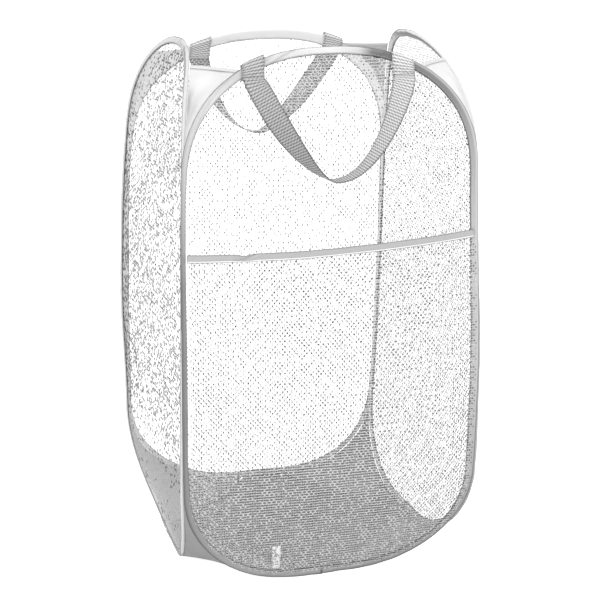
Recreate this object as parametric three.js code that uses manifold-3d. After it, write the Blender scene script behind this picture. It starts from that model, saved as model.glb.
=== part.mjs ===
// Pop-up laundry hamper: four sprung mesh panels sewn corner to corner round a cloth base,
// with cloth gussets in the corner gaps, a mesh side pocket and two webbing handles.
// Millimetres, +Z up. The hamper stands on Z = 0 and its front faces -Y.
import * as THREE from 'three';
import { mergeGeometries, mergeVertices } from 'three/addons/utils/BufferGeometryUtils.js';
import Module from 'manifold-3d';

const wasm = await Module();
wasm.setup();

// Driving sizes
const hamper = { width: 345, depth: 350, height: 610 };
const clearance = 0.3;
const wire = { diameter: 2.4, sides: 6, endGap: 0.6 };
const ferrule = { length: 16, wall: 0.3, sides: 12 };
const tape = { thickness: 0.5, reach: 7.4, seamShare: 0.88 };
const hoop = {
  topRise: 138, bottomRun: 27, bottomRise: 118,
  roundness: 2.26, topLean: 24, leanPower: 3, footLean: 6, footPower: 2,
};
const arcSteps = { bottom: 7, top: 11 };
const meshCloth = { thickness: 0.8, tuck: 4.2, jaw: 0.5 };
const net = { columns: 5, rows: 13, strand: 8, border: 13 };
const gusset = { thickness: 0.7, clothReach: 58, hemReach: 66, sagShare: 0.07, seamWidth: 4, columns: 4 };
const hem = { thickness: 1.5 };
const base = { thickness: 1.2 };
const pocket = { height: 382, belly: 9, columns: 8, rows: 4, hemHeight: 10, hemThickness: 1.8 };
const label = { width: 9, height: 24, thickness: 0.4, setIn: 100.7 };
const handle = {
  width: 25, thickness: 1.2, setIn: 78.7, drop: 108,
  outerLeg: 12, innerLeg: 22, lap: 2, hingeSlack: 0.2, standOff: 0.6,
  leftSweep: 1.6, rightSweep: 2.2, twistPower: 1.1, squareShare: 0.12, steps: 28,
};
const wrapSteps = 6;

// Sizes that follow from them
const ferruleInner = (wire.diameter / 2 + clearance) / Math.cos(Math.PI / ferrule.sides);
const ferruleOuter = ferruleInner + ferrule.wall;
const foldSides = 8;
const foldInner = (ferruleOuter + clearance) / Math.cos(Math.PI / foldSides);
const foldOuter = foldInner + tape.thickness;
const seamOffset = foldOuter * tape.seamShare;
const planeX = hamper.width / 2 - foldOuter;
const planeY = hamper.depth / 2 - foldOuter;
const pivotX = planeX - seamOffset;
const pivotY = planeY - seamOffset;
const wireLow = foldOuter;
const wireHigh = hamper.height - foldOuter;
const leanStart = wireHigh - hoop.topRise;
const jawInner = meshCloth.thickness / 2 + meshCloth.jaw;

// The four panels, anticlockwise seen from above. Each is modelled in its own frame,
// with x along the panel, y into the hamper and z up.
const panels = {
  front: { half: pivotX - seamOffset, x: 0, y: -planeY, turn: 0 },
  right: { half: pivotY - seamOffset, x: planeX, y: 0, turn: Math.PI / 2 },
  rear: { half: pivotX - seamOffset, x: 0, y: planeY, turn: Math.PI },
  left: { half: pivotY - seamOffset, x: -planeX, y: 0, turn: -Math.PI / 2 },
};

// Finishes
function finish(colour, roughness, metalness = 0) {
  return new THREE.MeshStandardMaterial({ color: colour, roughness, metalness });
}
const finishes = {
  mesh: finish(0xf2f2f2, 0.9),
  binding: finish(0xcfcfcf, 0.85),
  gusset: finish(0xd9d9d9, 0.85),
  base: finish(0xb4b4b4, 0.9),
  webbing: finish(0x9a9a9a, 0.8),
  label: finish(0xf7f7f7, 0.7),
  steel: finish(0x8d8d90, 0.35, 1),
};

// How far the panel's cloth leans into the hamper at a height, at its crown and at its foot
function leanShares(z) {
  return {
    crown: Math.max(0, (z - leanStart) / hoop.topRise),
    foot: Math.max(0, (wireLow + hoop.bottomRise - z) / hoop.bottomRise),
  };
}

function lean(z) {
  const shares = leanShares(z);
  const crown = hoop.topLean * shares.crown ** hoop.leanPower;
  return crown + hoop.footLean * shares.foot ** hoop.footPower;
}

function leanSlope(z) {
  const shares = leanShares(z);
  const crown = hoop.topLean * hoop.leanPower * shares.crown ** (hoop.leanPower - 1);
  const foot = hoop.footLean * hoop.footPower * shares.foot ** (hoop.footPower - 1);
  return crown / hoop.topRise - foot / hoop.bottomRise;
}

// Quarter of a superellipse: shares of its reach and rise at an angle from 0 to a right angle
function arcShares(angle) {
  const power = 2 / hoop.roundness;
  return {
    across: Math.max(0, Math.cos(angle)) ** power,
    up: Math.max(0, Math.sin(angle)) ** power,
  };
}

function arcAngleAt(acrossShare) {
  return Math.acos(acrossShare ** (hoop.roundness / 2));
}

function onCloth(u, z) {
  return new THREE.Vector3(u, lean(z), z);
}

function topPoint(half, angle) {
  const shares = arcShares(angle);
  return onCloth(half * shares.across, leanStart + hoop.topRise * shares.up);
}

function bottomPoint(half, angle) {
  const shares = arcShares(angle);
  const u = hoop.bottomRun + (half - hoop.bottomRun) * shares.across;
  return onCloth(u, wireLow + hoop.bottomRise * (1 - shares.up));
}

// Angles of the stations on the top arc that other pieces line up with
const right = Math.PI / 2;
const clothAngle = arcAngleAt(1 - gusset.clothReach / panels.front.half);
const hemAngle = arcAngleAt(1 - gusset.hemReach / panels.front.half);
const spread = panels.front.half - handle.setIn;
const handleStations = [spread + handle.width / 2, spread, spread - handle.width / 2];
const handleAngles = handleStations.map((u) => arcAngleAt(u / panels.front.half));

function evenAngles(from, to, steps) {
  return Array.from({ length: steps + 1 }, (_, k) => from + ((to - from) * k) / steps);
}

// Even angles, less those that would crowd a station, plus the stations
function topAngles(stations) {
  const crowd = right / arcSteps.top / 2;
  const even = evenAngles(0, right, arcSteps.top);
  const inner = even.filter((a) => stations.every((s) => Math.abs(s - a) > crowd));
  const all = [0, ...inner.filter((a) => a > 0 && a < right), ...stations, right];
  return all.sort((a, b) => a - b);
}

const bottomAngles = evenAngles(right, 0, arcSteps.bottom);
const sideStations = [clothAngle, hemAngle];
const frontStations = [clothAngle, hemAngle, ...handleAngles];

// Right half of a hoop's wire line, from the bottom run up to the crown
function halfLine(name) {
  const { half } = panels[name];
  const stations = half === panels.front.half ? frontStations : sideStations;
  const low = bottomAngles.map((a) => bottomPoint(half, a));
  const high = topAngles(stations).map((a) => topPoint(half, a));
  return [...low, ...high];
}

function mirrored(point) {
  return new THREE.Vector3(-point.x, point.y, point.z);
}

function closedLine(name) {
  const half = halfLine(name);
  const back = half.slice(0, -1).reverse().map(mirrored);
  return [...half, ...back];
}

// Frames along a line on the cloth: inward across the cloth, and its normal into the hamper
function clothFrames(line, closed) {
  const last = line.length - 1;
  return line.map((point, k) => {
    const before = line[closed ? (k + last) % line.length : Math.max(0, k - 1)];
    const after = line[closed ? (k + 1) % line.length : Math.min(last, k + 1)];
    const arriving = point.clone().sub(before).normalize();
    const leaving = after.clone().sub(point).normalize();
    const along = arriving.add(leaving).normalize();
    const normal = new THREE.Vector3(0, 1, -leanSlope(point.z)).normalize();
    const across = along.clone().cross(normal).normalize();
    return { point, along, normal, across };
  });
}

// Closed solids from vertices and faces, turned the right way out
function solidGeometry(vertices, faces) {
  let volume = 0;
  for (const [a, b, c] of faces) {
    volume += vertices[a].dot(vertices[b].clone().cross(vertices[c]));
  }
  const ordered = volume < 0 ? faces.map(([a, b, c]) => [a, c, b]) : faces;
  const geometry = new THREE.BufferGeometry();
  geometry.setAttribute(
    'position',
    new THREE.Float32BufferAttribute(vertices.flatMap((v) => v.toArray()), 3),
  );
  geometry.setIndex(ordered.flat());
  return geometry;
}

function quad(a, b, c, d) {
  return [[a, b, c], [a, c, d]];
}

// A section swept along frames; an open sweep gets flat ends
function sweep(frames, section, closed) {
  const count = section.length;
  const vertices = frames.flatMap(({ point, across, normal }) => section.map(([v, n]) => (
    point.clone().addScaledVector(across, v).addScaledVector(normal, n)
  )));
  const faces = [];
  const spans = closed ? frames.length : frames.length - 1;
  for (let k = 0; k < spans; k += 1) {
    const here = k * count;
    const next = ((k + 1) % frames.length) * count;
    for (let i = 0; i < count; i += 1) {
      const j = (i + 1) % count;
      faces.push(...quad(here + i, here + j, next + j, next + i));
    }
  }
  if (!closed) {
    const end = (frames.length - 1) * count;
    for (let i = 1; i < count - 1; i += 1) {
      faces.push([0, i + 1, i], [end, end + i, end + i + 1]);
    }
  }
  return solidGeometry(vertices, faces);
}

// A sheet of cloth of even thickness over a grid of points
function sheet(grid, thickness) {
  const rows = grid.length;
  const columns = grid[0].length;
  const normalAt = (i, j) => {
    const up = grid[Math.min(rows - 1, i + 1)][j].clone().sub(grid[Math.max(0, i - 1)][j]);
    const over = grid[i][Math.min(columns - 1, j + 1)].clone().sub(grid[i][Math.max(0, j - 1)]);
    return up.cross(over).normalize();
  };
  const vertices = [];
  for (const side of [thickness / 2, -thickness / 2]) {
    grid.forEach((row, i) => row.forEach((point, j) => {
      vertices.push(point.clone().addScaledVector(normalAt(i, j), side));
    }));
  }
  const top = (i, j) => i * columns + j;
  const under = (i, j) => rows * columns + top(i, j);
  const faces = [];
  for (let i = 0; i < rows - 1; i += 1) {
    for (let j = 0; j < columns - 1; j += 1) {
      faces.push(...quad(top(i, j), top(i, j + 1), top(i + 1, j + 1), top(i + 1, j)));
      faces.push(...quad(under(i, j), under(i + 1, j), under(i + 1, j + 1), under(i, j + 1)));
    }
    faces.push(...quad(top(i, 0), top(i + 1, 0), under(i + 1, 0), under(i, 0)));
    const j = columns - 1;
    faces.push(...quad(top(i, j), under(i, j), under(i + 1, j), top(i + 1, j)));
  }
  for (let j = 0; j < columns - 1; j += 1) {
    faces.push(...quad(top(0, j), under(0, j), under(0, j + 1), top(0, j + 1)));
    const i = rows - 1;
    faces.push(...quad(top(i, j), top(i, j + 1), under(i, j + 1), under(i, j)));
  }
  return solidGeometry(vertices, faces);
}

// Cutting one closed geometry out of another
function asSolid(geometry) {
  const bare = geometry.clone();
  bare.deleteAttribute('normal');
  bare.deleteAttribute('uv');
  const merged = mergeVertices(bare);
  return new wasm.Manifold(new wasm.Mesh({
    numProp: 3,
    vertProperties: new Float32Array(merged.attributes.position.array),
    triVerts: new Uint32Array(merged.index.array),
  }));
}

function cut(geometry, tool) {
  const result = asSolid(geometry).subtract(asSolid(tool)).getMesh();
  const out = new THREE.BufferGeometry();
  out.setAttribute('position', new THREE.BufferAttribute(result.vertProperties, 3));
  out.setIndex(new THREE.BufferAttribute(result.triVerts, 1));
  return out;
}

// Spring-steel wire, its ends meeting at the middle of the bottom run
function wireGeometry(name) {
  const line = closedLine(name);
  const start = onCloth(wire.endGap / 2, wireLow);
  const frames = clothFrames([start, ...line, mirrored(start)], false);
  const section = Array.from({ length: wire.sides }, (_, k) => {
    const angle = (2 * Math.PI * k) / wire.sides;
    return [(Math.cos(angle) * wire.diameter) / 2, (Math.sin(angle) * wire.diameter) / 2];
  });
  return sweep(frames, section, false);
}

// Crimped sleeve over the wire's ends
function ferruleGeometry() {
  const half = ferrule.length / 2;
  const profile = [
    [ferruleInner, -half], [ferruleOuter, -half], [ferruleOuter, half],
    [ferruleInner, half], [ferruleInner, -half],
  ].map(([radius, along]) => new THREE.Vector2(radius, along));
  const geometry = new THREE.LatheGeometry(profile, ferrule.sides);
  geometry.rotateZ(-Math.PI / 2);
  geometry.translate(0, lean(wireLow), wireLow);
  return geometry;
}

// Binding tape folded over the wire, its two legs closing on the cloth's edge
function bindingGeometry(name) {
  const fold = (radius) => Array.from({ length: foldSides / 2 + 1 }, (_, k) => {
    const angle = right + (2 * Math.PI * k) / foldSides;
    return [Math.cos(angle) * radius, Math.sin(angle) * radius];
  });
  const section = [
    [tape.reach, jawInner + tape.thickness],
    ...fold(foldOuter),
    [tape.reach, -jawInner - tape.thickness],
    [tape.reach, -jawInner],
    ...fold(foldInner).reverse(),
    [tape.reach, jawInner],
  ];
  return sweep(clothFrames(closedLine(name), true), section, true);
}

// Right-hand edge of a sheet that is set in from the wire line, without the crown point
function insetEdge(name, inset) {
  const line = halfLine(name);
  const frames = clothFrames(line, false);
  return frames.slice(0, -1).map(({ point, across }) => point.clone().addScaledVector(across, inset));
}

// Half width of the net's open field at a height
function fieldHalf(half, z) {
  const upShare = Math.min(1, Math.max(0, (z - leanStart) / hoop.topRise));
  const downShare = Math.min(1, Math.max(0, (wireLow + hoop.bottomRise - z) / hoop.bottomRise));
  const bend = (share) => (1 - share ** hoop.roundness) ** (1 / hoop.roundness);
  const top = half * bend(upShare);
  const bottom = hoop.bottomRun + (half - hoop.bottomRun) * bend(downShare);
  return Math.min(top, bottom) - net.border;
}

// Lozenge gaps in staggered rows, each whole and below a height
function netGaps(half, top) {
  const low = wireLow + net.border;
  const high = wireHigh - net.border;
  const pitchAcross = (2 * (half - net.border) + net.strand) / net.columns;
  const rowStep = (high - low + net.strand) / (net.rows + 1);
  const reachAcross = (pitchAcross - net.strand) / 2;
  const reachUp = rowStep - net.strand / 2;
  const shape = new THREE.Shape([
    new THREE.Vector2(reachAcross, 0), new THREE.Vector2(0, reachUp),
    new THREE.Vector2(-reachAcross, 0), new THREE.Vector2(0, -reachUp),
  ]);
  const through = hamper.depth;
  const gaps = [];
  for (let row = 0; row < net.rows; row += 1) {
    const z = low + reachUp + row * rowStep;
    const shift = row % 2 ? 0 : pitchAcross / 2;
    for (let column = -net.columns; column <= net.columns; column += 1) {
      const u = column * pitchAcross + shift;
      const tips = Math.min(fieldHalf(half, z + reachUp), fieldHalf(half, z - reachUp));
      const sides = fieldHalf(half, z) + clearance;
      const fits = Math.abs(u) + reachAcross < sides && Math.abs(u) < tips && z + reachUp < top;
      if (fits) {
        const gap = new THREE.ExtrudeGeometry(shape, { depth: through, bevelEnabled: false });
        gap.translate(0, 0, -through / 2);
        gap.rotateX(right);
        gap.translate(u, 0, z);
        gaps.push(gap);
      }
    }
  }
  return mergeGeometries(gaps);
}

// Mesh panel: a sheet whose edge is held in the binding's jaw
function meshGeometry(name) {
  const { half } = panels[name];
  const edge = insetEdge(name, meshCloth.tuck);
  const grid = edge.map((point) => [mirrored(point), onCloth(0, point.z), point]);
  const cloth = sheet(grid, meshCloth.thickness);
  return cut(cloth, netGaps(half, wireHigh));
}

// Pocket: a second layer on the outside of the front panel, bellied out towards its hem
function pocketFace(share, z, thickness) {
  const seated = meshCloth.thickness / 2 + clearance + thickness / 2;
  return lean(z) - seated - pocket.belly * (1 - share * share) * (z / pocket.height);
}

function pocketEdge() {
  const inset = tape.reach + clearance;
  const line = insetEdge('front', inset).filter(({ z }) => z < leanStart - clearance);
  const side = line[line.length - 1];
  const low = line.filter(({ z }) => z < side.z || z <= wireLow + hoop.bottomRise);
  const rows = Array.from({ length: pocket.rows }, (_, k) => {
    const z = side.z + ((pocket.height - side.z) * (k + 1)) / pocket.rows;
    return new THREE.Vector3(side.x, 0, z);
  });
  return [...low, ...rows];
}

function pocketRow(halfWidth, z, thickness) {
  return Array.from({ length: pocket.columns + 1 }, (_, k) => {
    const share = (2 * k) / pocket.columns - 1;
    return new THREE.Vector3(share * halfWidth, pocketFace(share, z, thickness), z);
  });
}

function pocketGeometry() {
  const grid = pocketEdge().map(({ x, z }) => pocketRow(x, z, meshCloth.thickness));
  const cloth = sheet(grid, meshCloth.thickness);
  return cut(cloth, netGaps(panels.front.half, pocket.height - net.strand));
}

function pocketHemGeometry() {
  const { x } = pocketEdge().at(-1);
  const low = pocket.height + clearance;
  const grid = [low, low + pocket.hemHeight].map((z) => pocketRow(x, z, pocket.hemThickness));
  return sheet(grid, pocket.hemThickness);
}

// Label: sewn to the binding's upper edge on the bottom arc, and hanging up over the pocket
function labelGeometry() {
  const { half } = panels.front;
  const across = label.setIn - half;
  const off = meshCloth.thickness / 2 + label.thickness / 2 + clearance;
  const reachShare = (label.width / 2 - across - hoop.bottomRun) / (half - hoop.bottomRun);
  const riseShare = 1 - (1 - Math.max(0, reachShare) ** hoop.roundness) ** (1 / hoop.roundness);
  const low = wireLow + hoop.bottomRise * riseShare + tape.reach + clearance;
  const grid = [low, low + label.height].map((z) => [-label.width / 2, label.width / 2].map((u) => (
    new THREE.Vector3(across + u, pocketFace(across / half, z, meshCloth.thickness) - off, z)
  )));
  return sheet(grid, label.thickness);
}

// Where a point of a panel lies in the hamper
function placed(name, point) {
  const { x, y, turn } = panels[name];
  const out = point.clone().applyAxisAngle(new THREE.Vector3(0, 0, 1), turn);
  return out.add(new THREE.Vector3(x, y, 0));
}

// One row of a gusset, from the right edge of one panel to the left edge of the next
function gussetRow(first, second, pointAt, angle, drop) {
  const step = right / arcSteps.top / arcSteps.top;
  const ends = [[first, 1], [second, -1]].map(([name, side]) => {
    const at = (a) => {
      const local = pointAt(panels[name].half, Math.min(right, Math.max(0, a)));
      return placed(name, new THREE.Vector3(side * local.x, local.y, local.z));
    };
    return { point: at(angle), along: at(angle + step).sub(at(angle - step)).normalize() };
  });
  const chord = ends[1].point.clone().sub(ends[0].point);
  const over = chord.clone().normalize();
  const trims = ends.map(({ along }) => {
    const square = Math.sqrt(1 - over.dot(along) ** 2);
    return (foldOuter + clearance) / square;
  });
  const start = ends[0].point.clone().addScaledVector(over, trims[0]);
  const length = chord.length() - trims[0] - trims[1];
  const inward = new THREE.Vector3(-over.y, over.x, 0);
  return Array.from({ length: gusset.columns + 1 }, (_, k) => {
    const share = k / gusset.columns;
    const sag = gusset.sagShare * length * 4 * share * (1 - share);
    const point = start.clone().addScaledVector(over, share * length);
    return point.addScaledVector(inward, sag).setZ(point.z - drop);
  });
}

function topGussetGeometry(first, second) {
  const angles = topAngles(sideStations).filter((a) => a > 0 && a <= clothAngle);
  const grid = angles.map((a) => gussetRow(first, second, topPoint, a, 0));
  return sheet(grid, gusset.thickness);
}

// Folded hem along the free top edge of a gusset
function gussetHemGeometry(first, second) {
  const [low, high] = [clothAngle, hemAngle].map((a) => gussetRow(first, second, topPoint, a, 0));
  const start = low.map((point, k) => {
    const up = high[k].clone().sub(point).normalize();
    return point.clone().addScaledVector(up, clearance);
  });
  return sheet([start, high], hem.thickness);
}

// Lower gusset: it runs down between the hoops and laps over the base's slanted edge
function lowGussetGeometry(first, second) {
  const drop = wireLow - base.thickness - clearance - gusset.thickness;
  const angles = bottomAngles.filter((a) => a > 0);
  const rows = angles.map((a) => gussetRow(first, second, bottomPoint, a, drop));
  const over = rows[0].at(-1).clone().sub(rows[0][0]).normalize();
  const inward = new THREE.Vector3(-over.y, over.x, 0);
  const lap = rows[0].map((point) => point.clone().addScaledVector(inward, gusset.seamWidth));
  return sheet([lap, ...rows], gusset.thickness);
}

// Base: eight-sided cloth panel between the hoops' bottom runs
function baseGeometry() {
  const rise = foldOuter - base.thickness;
  const foldHalf = Math.sqrt(foldOuter * foldOuter - rise * rise);
  const setBack = lean(wireLow) + foldHalf + clearance;
  const edgeX = planeX - setBack;
  const edgeY = planeY - setBack;
  const quarter = [[hoop.bottomRun, -edgeY], [edgeX, -hoop.bottomRun]];
  const corners = [
    ...quarter,
    ...quarter.map(([x, y]) => [x, -y]).reverse(),
    ...quarter.map(([x, y]) => [-x, -y]),
    ...quarter.map(([x, y]) => [-x, y]).reverse(),
  ];
  const shape = new THREE.Shape(corners.map(([x, y]) => new THREE.Vector2(x, y)));
  return new THREE.ExtrudeGeometry(shape, { depth: base.thickness, bevelEnabled: false });
}

// Handle: its strap starts on the outside of the sewn ends' outer legs and swings there
const stationPoints = handleAngles.map((a) => topPoint(panels.front.half, a));
const legTip = stationPoints[0].z - handle.outerLeg;
const legOff = meshCloth.thickness / 2 + handle.standOff + handle.thickness / 2;
const legY = lean(legTip) - legOff;
const swing = {
  z: legTip + handle.lap,
  y: legY - handle.thickness - clearance - handle.hingeSlack,
};
const strapOff = lean(swing.z) - swing.y;

// Sewn end of a handle: webbing that laps over the hoop, from inside the panel to outside it
function handleEndGeometry(side) {
  const [outer, , inner] = stationPoints;
  const slope = Math.hypot(outer.x - inner.x, inner.z - outer.z) / (outer.x - inner.x);
  const faceted = Math.cos(Math.PI / wrapSteps / 2);
  const radius = ((foldOuter + clearance) / faceted) * slope + handle.thickness / 2;
  const jaw = meshCloth.thickness / 2 + clearance + handle.thickness / 2;
  const columns = stationPoints.map((centre) => {
    const innerTip = legTip - (handle.innerLeg - handle.outerLeg);
    const kneeZ = centre.z - tape.reach;
    const knee = jawInner + tape.thickness + clearance + handle.thickness;
    const wrap = Array.from({ length: wrapSteps + 1 }, (_, k) => {
      const angle = (Math.PI * k) / wrapSteps;
      const y = centre.y + radius * Math.cos(angle);
      return [y, centre.z + radius * Math.sin(angle)];
    });
    const path = [
      [lean(innerTip) + jaw, innerTip],
      [lean(legTip) + jaw, legTip],
      [lean(kneeZ) + knee, kneeZ],
      ...wrap,
      [lean(kneeZ) - knee, kneeZ],
      [legY, legTip],
    ];
    return path.map(([y, z]) => new THREE.Vector3(side * centre.x, y, z));
  });
  const grid = columns[0].map((_, i) => columns.map((column) => column[i]));
  return sheet(grid, handle.thickness);
}

// Hanging webbing between the two sewn ends: flat against the panel at its ends and
// turned edge-on to it at its lowest point
function handleStrapGeometry() {
  const grid = Array.from({ length: handle.steps + 1 }, (_, k) => {
    const across = (2 * k) / handle.steps - 1;
    const sweepPower = across < 0 ? handle.leftSweep : handle.rightSweep;
    const height = Math.abs(across) ** sweepPower;
    const slope = (Math.sign(across) * sweepPower * Math.abs(across) ** (sweepPower - 1));
    const turn = right * (1 - height) ** handle.twistPower;
    const path = new THREE.Vector3(spread, 0, slope * handle.drop).normalize();
    const square = new THREE.Vector3(path.z, 0, -path.x).multiplyScalar(Math.sign(across) || 1);
    const level = new THREE.Vector3(1, 0, 0);
    const blend = Math.min(1, (1 - height) / handle.squareShare);
    const flat = level.lerp(square, blend).normalize().multiplyScalar(Math.cos(turn));
    const out = (handle.width / 2) * Math.sin(turn);
    const z = swing.z - handle.drop * (1 - height);
    const centre = new THREE.Vector3(across * spread, 0, z);
    return [-1, 1].map((side) => {
      const edge = centre.clone().addScaledVector(flat, (side * handle.width) / 2);
      return edge.setY(lean(edge.z) - strapOff - out * (1 + side));
    });
  });
  return sheet(grid, handle.thickness);
}

// Assembly
const hamperGroup = new THREE.Group();

function piece(parent, name, geometry, material) {
  const mesh = new THREE.Mesh(geometry, material);
  mesh.name = name;
  parent.add(mesh);
  return mesh;
}

const panelGroups = {};
for (const [name, panel] of Object.entries(panels)) {
  const group = new THREE.Group();
  group.position.set(panel.x, panel.y, 0);
  group.rotation.z = panel.turn;
  hamperGroup.add(group);
  panelGroups[name] = group;
  piece(group, `${name}_wire_hoop`, wireGeometry(name), finishes.steel);
  piece(group, `${name}_wire_ferrule`, ferruleGeometry(), finishes.steel);
  piece(group, `${name}_binding`, bindingGeometry(name), finishes.binding);
  piece(group, `${name}_mesh`, meshGeometry(name), finishes.mesh);
}

piece(panelGroups.front, 'pocket_mesh', pocketGeometry(), finishes.mesh);
piece(panelGroups.front, 'pocket_hem', pocketHemGeometry(), finishes.binding);
piece(panelGroups.front, 'blank_label', labelGeometry(), finishes.label);

for (const name of ['front', 'rear']) {
  const group = panelGroups[name];
  piece(group, `${name}_handle_strap`, handleStrapGeometry(), finishes.webbing);
  for (const [side, turn] of [['left', -1], ['right', 1]]) {
    const across = name === 'front' ? turn : -turn;
    piece(group, `${name}_handle_${side}_end`, handleEndGeometry(across), finishes.webbing);
  }
}

const corners = [
  ['front_right', 'front', 'right'], ['rear_right', 'right', 'rear'],
  ['rear_left', 'rear', 'left'], ['front_left', 'left', 'front'],
];
for (const [corner, first, second] of corners) {
  piece(hamperGroup, `${corner}_top_gusset`, topGussetGeometry(first, second), finishes.gusset);
  piece(hamperGroup, `${corner}_gusset_hem`, gussetHemGeometry(first, second), finishes.gusset);
  piece(hamperGroup, `${corner}_low_gusset`, lowGussetGeometry(first, second), finishes.gusset);
}

piece(hamperGroup, 'base_panel', baseGeometry(), finishes.base);

export default hamperGroup;
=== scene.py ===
"""Pop-up laundry hamper: knitted mesh panels in taped spring hoops, sewn into a folding tub
with a side pocket and two webbing handles. Metres, +Z up; the hamper stands on Z = 0 and
its front faces -Y."""
import math

import bpy
import numpy as np
from mathutils import Matrix, Vector, noise


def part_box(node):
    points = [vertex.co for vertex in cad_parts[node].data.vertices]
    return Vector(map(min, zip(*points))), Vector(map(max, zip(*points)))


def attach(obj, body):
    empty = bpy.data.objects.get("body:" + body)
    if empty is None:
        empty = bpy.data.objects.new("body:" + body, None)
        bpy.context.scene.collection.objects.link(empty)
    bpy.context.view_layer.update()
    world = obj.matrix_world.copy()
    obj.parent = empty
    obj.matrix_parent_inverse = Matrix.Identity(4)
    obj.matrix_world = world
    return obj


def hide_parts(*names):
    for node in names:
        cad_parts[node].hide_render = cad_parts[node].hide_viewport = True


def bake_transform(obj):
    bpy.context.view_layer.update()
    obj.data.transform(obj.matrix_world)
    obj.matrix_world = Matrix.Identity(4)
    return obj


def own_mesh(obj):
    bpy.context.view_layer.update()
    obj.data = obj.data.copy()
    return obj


bl_info = {
    "name": "Pop-up Laundry Hamper",
    "version": (1, 0, 0),
    "blender": (4, 5, 0),
    "location": "3D View > Sidebar > Hamper",
    "description": "Builds the hamper's tapes, nets, cloth and handles round its packed frame",
    "category": "Object",
}

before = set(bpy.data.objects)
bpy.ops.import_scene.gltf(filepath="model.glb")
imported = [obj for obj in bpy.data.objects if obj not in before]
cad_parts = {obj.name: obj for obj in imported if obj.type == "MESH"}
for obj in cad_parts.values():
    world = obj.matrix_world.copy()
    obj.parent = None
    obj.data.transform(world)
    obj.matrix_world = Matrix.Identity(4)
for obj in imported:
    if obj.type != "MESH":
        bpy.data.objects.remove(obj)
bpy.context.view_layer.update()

# Radius of the bindings' fold in the frame, and of the tape's middle over the wire and its sleeve
FOLD_RADIUS = 0.00283
WRAP_RADIUS, SLEEVE_RADIUS = 0.00175, 0.0024

# Sizes and places read from the frame
FRONT_LOW, FRONT_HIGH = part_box("front_binding")
LEFT_LOW, LEFT_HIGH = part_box("left_binding")
WIRE_LOW = FOLD_RADIUS
WIRE_HIGH = FRONT_HIGH.z - FOLD_RADIUS
PLANE_X = -LEFT_LOW.x - FOLD_RADIUS
PLANE_Y = -FRONT_LOW.y - FOLD_RADIUS
HALF_FRONT = FRONT_HIGH.x - FOLD_RADIUS
HALF_SIDE = LEFT_HIGH.y - FOLD_RADIUS
CAD_HALF_X, CAD_HALF_Y = PLANE_X + FOLD_RADIUS, PLANE_Y + FOLD_RADIUS
HAMPER_TOP = FRONT_HIGH.z + FOLD_RADIUS
BASE_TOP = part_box("base_panel")[1].z
POCKET_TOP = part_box("pocket_mesh")[1].z
STRAP_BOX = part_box("front_handle_strap")
LABEL_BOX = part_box("blank_label")

# The hoop's line: a straight run at the foot, straight sides and superellipse corners, and how
# far its crown and its foot lean into the hamper
TOP_RISE = 0.138
FOOT_RUN = 0.027
FOOT_RISE = 0.118
ROUNDNESS = 2.26
TOP_LEAN, TOP_POWER = 0.024, 3
FOOT_LEAN, FOOT_POWER = 0.006, 2
LEAN_START = WIRE_HIGH - TOP_RISE
FOOT_END = WIRE_LOW + FOOT_RISE
RIGHT_ANGLE = math.pi / 2
# Points of a corner's curve before they are spaced evenly, steps too short to count, and how
# far past the wire's line the shares of its curves go on
ARC_POINTS, SAME_POINT, OVERSHOOT = 80, 1e-7, 1.1

# Each panel: half width, place of its middle, quarter turns from the front, and its body
PANELS = {
    "front": {"half": HALF_FRONT, "at": (0, -PLANE_Y), "turn": 0, "body": "front_side"},
    "right": {"half": HALF_SIDE, "at": (PLANE_X, 0), "turn": 1, "body": "right_side"},
    "rear": {"half": HALF_FRONT, "at": (0, PLANE_Y), "turn": 2, "body": "rear_side"},
    "left": {"half": HALF_SIDE, "at": (-PLANE_X, 0), "turn": -1, "body": "left_side"},
}
CORNERS = {
    "front_right": ("front", "right"), "rear_right": ("right", "rear"),
    "rear_left": ("rear", "left"), "front_left": ("left", "front"),
}
CORNER_BODIES = {
    "front_right": ("front_side", "right_side"), "rear_left": ("left_side", "rear_side"),
    "front_left": ("front_side", "left_side"),
}

# How the standing hamper has settled out of square: how far each panel's two upright sides,
# its start and its end, have moved to the right at five heights, and how the crowns and
# feet lean inwards, shift along their panel and rise
MOVE_HEIGHTS = (0.0, 0.13, 0.26, 0.40, 0.61)
# Steps round a height over which the moves are averaged, so that the sides bend softly
MOVE_SOFTENING = (-0.04, -0.02, 0, 0.02, 0.04)
SIDE_MOVES = {
    "front": ((0.000, -0.003, -0.003, -0.004, 0.001), (0.003, 0.010, 0.011, 0.004, -0.004)),
    "right": ((0.003, 0.010, 0.010, 0.001, -0.009), (-0.002, 0.001, 0.000, -0.002, -0.005)),
    "rear": ((0.004, 0.010, 0.010, 0.006, -0.001), (0.006, 0.002, -0.005, -0.008, -0.003)),
    "left": ((0.008, 0.005, -0.006, -0.008, 0.001), (0.001, 0.000, 0.002, 0.003, 0.007)),
}
CROWN_LEANS = {"left": 0.0003, "right": 0.0012, "front": 0.0042, "rear": 0.0063}
FOOT_LEANS = {"left": 0.0082, "right": 0.0039, "front": 0.0016, "rear": -0.0008}
CROWN_SHIFTS = {"left": -0.0096, "right": 0.0010, "front": 0.0029, "rear": -0.0053}
FOOT_SHIFTS = {"left": -0.0035, "right": 0.0169, "front": -0.0033, "rear": 0.0152}
RACKING = (0.0129, -0.0009)
CROWN_RISES = (-0.0090, 0.0056, -0.0019, 0.0013)
SIDE_RISE = 0.0062

# Noise: how far apart two seeds lie, and what brings its strength to about 1
SEED_STEPS = (7.31, 3.17, 5.77)
NOISE_GAIN = 1.6
# A cloth's area is given as at least this share of the rectangle that it is cut from
LEAST_AREA_SHARE = 0.3

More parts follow.
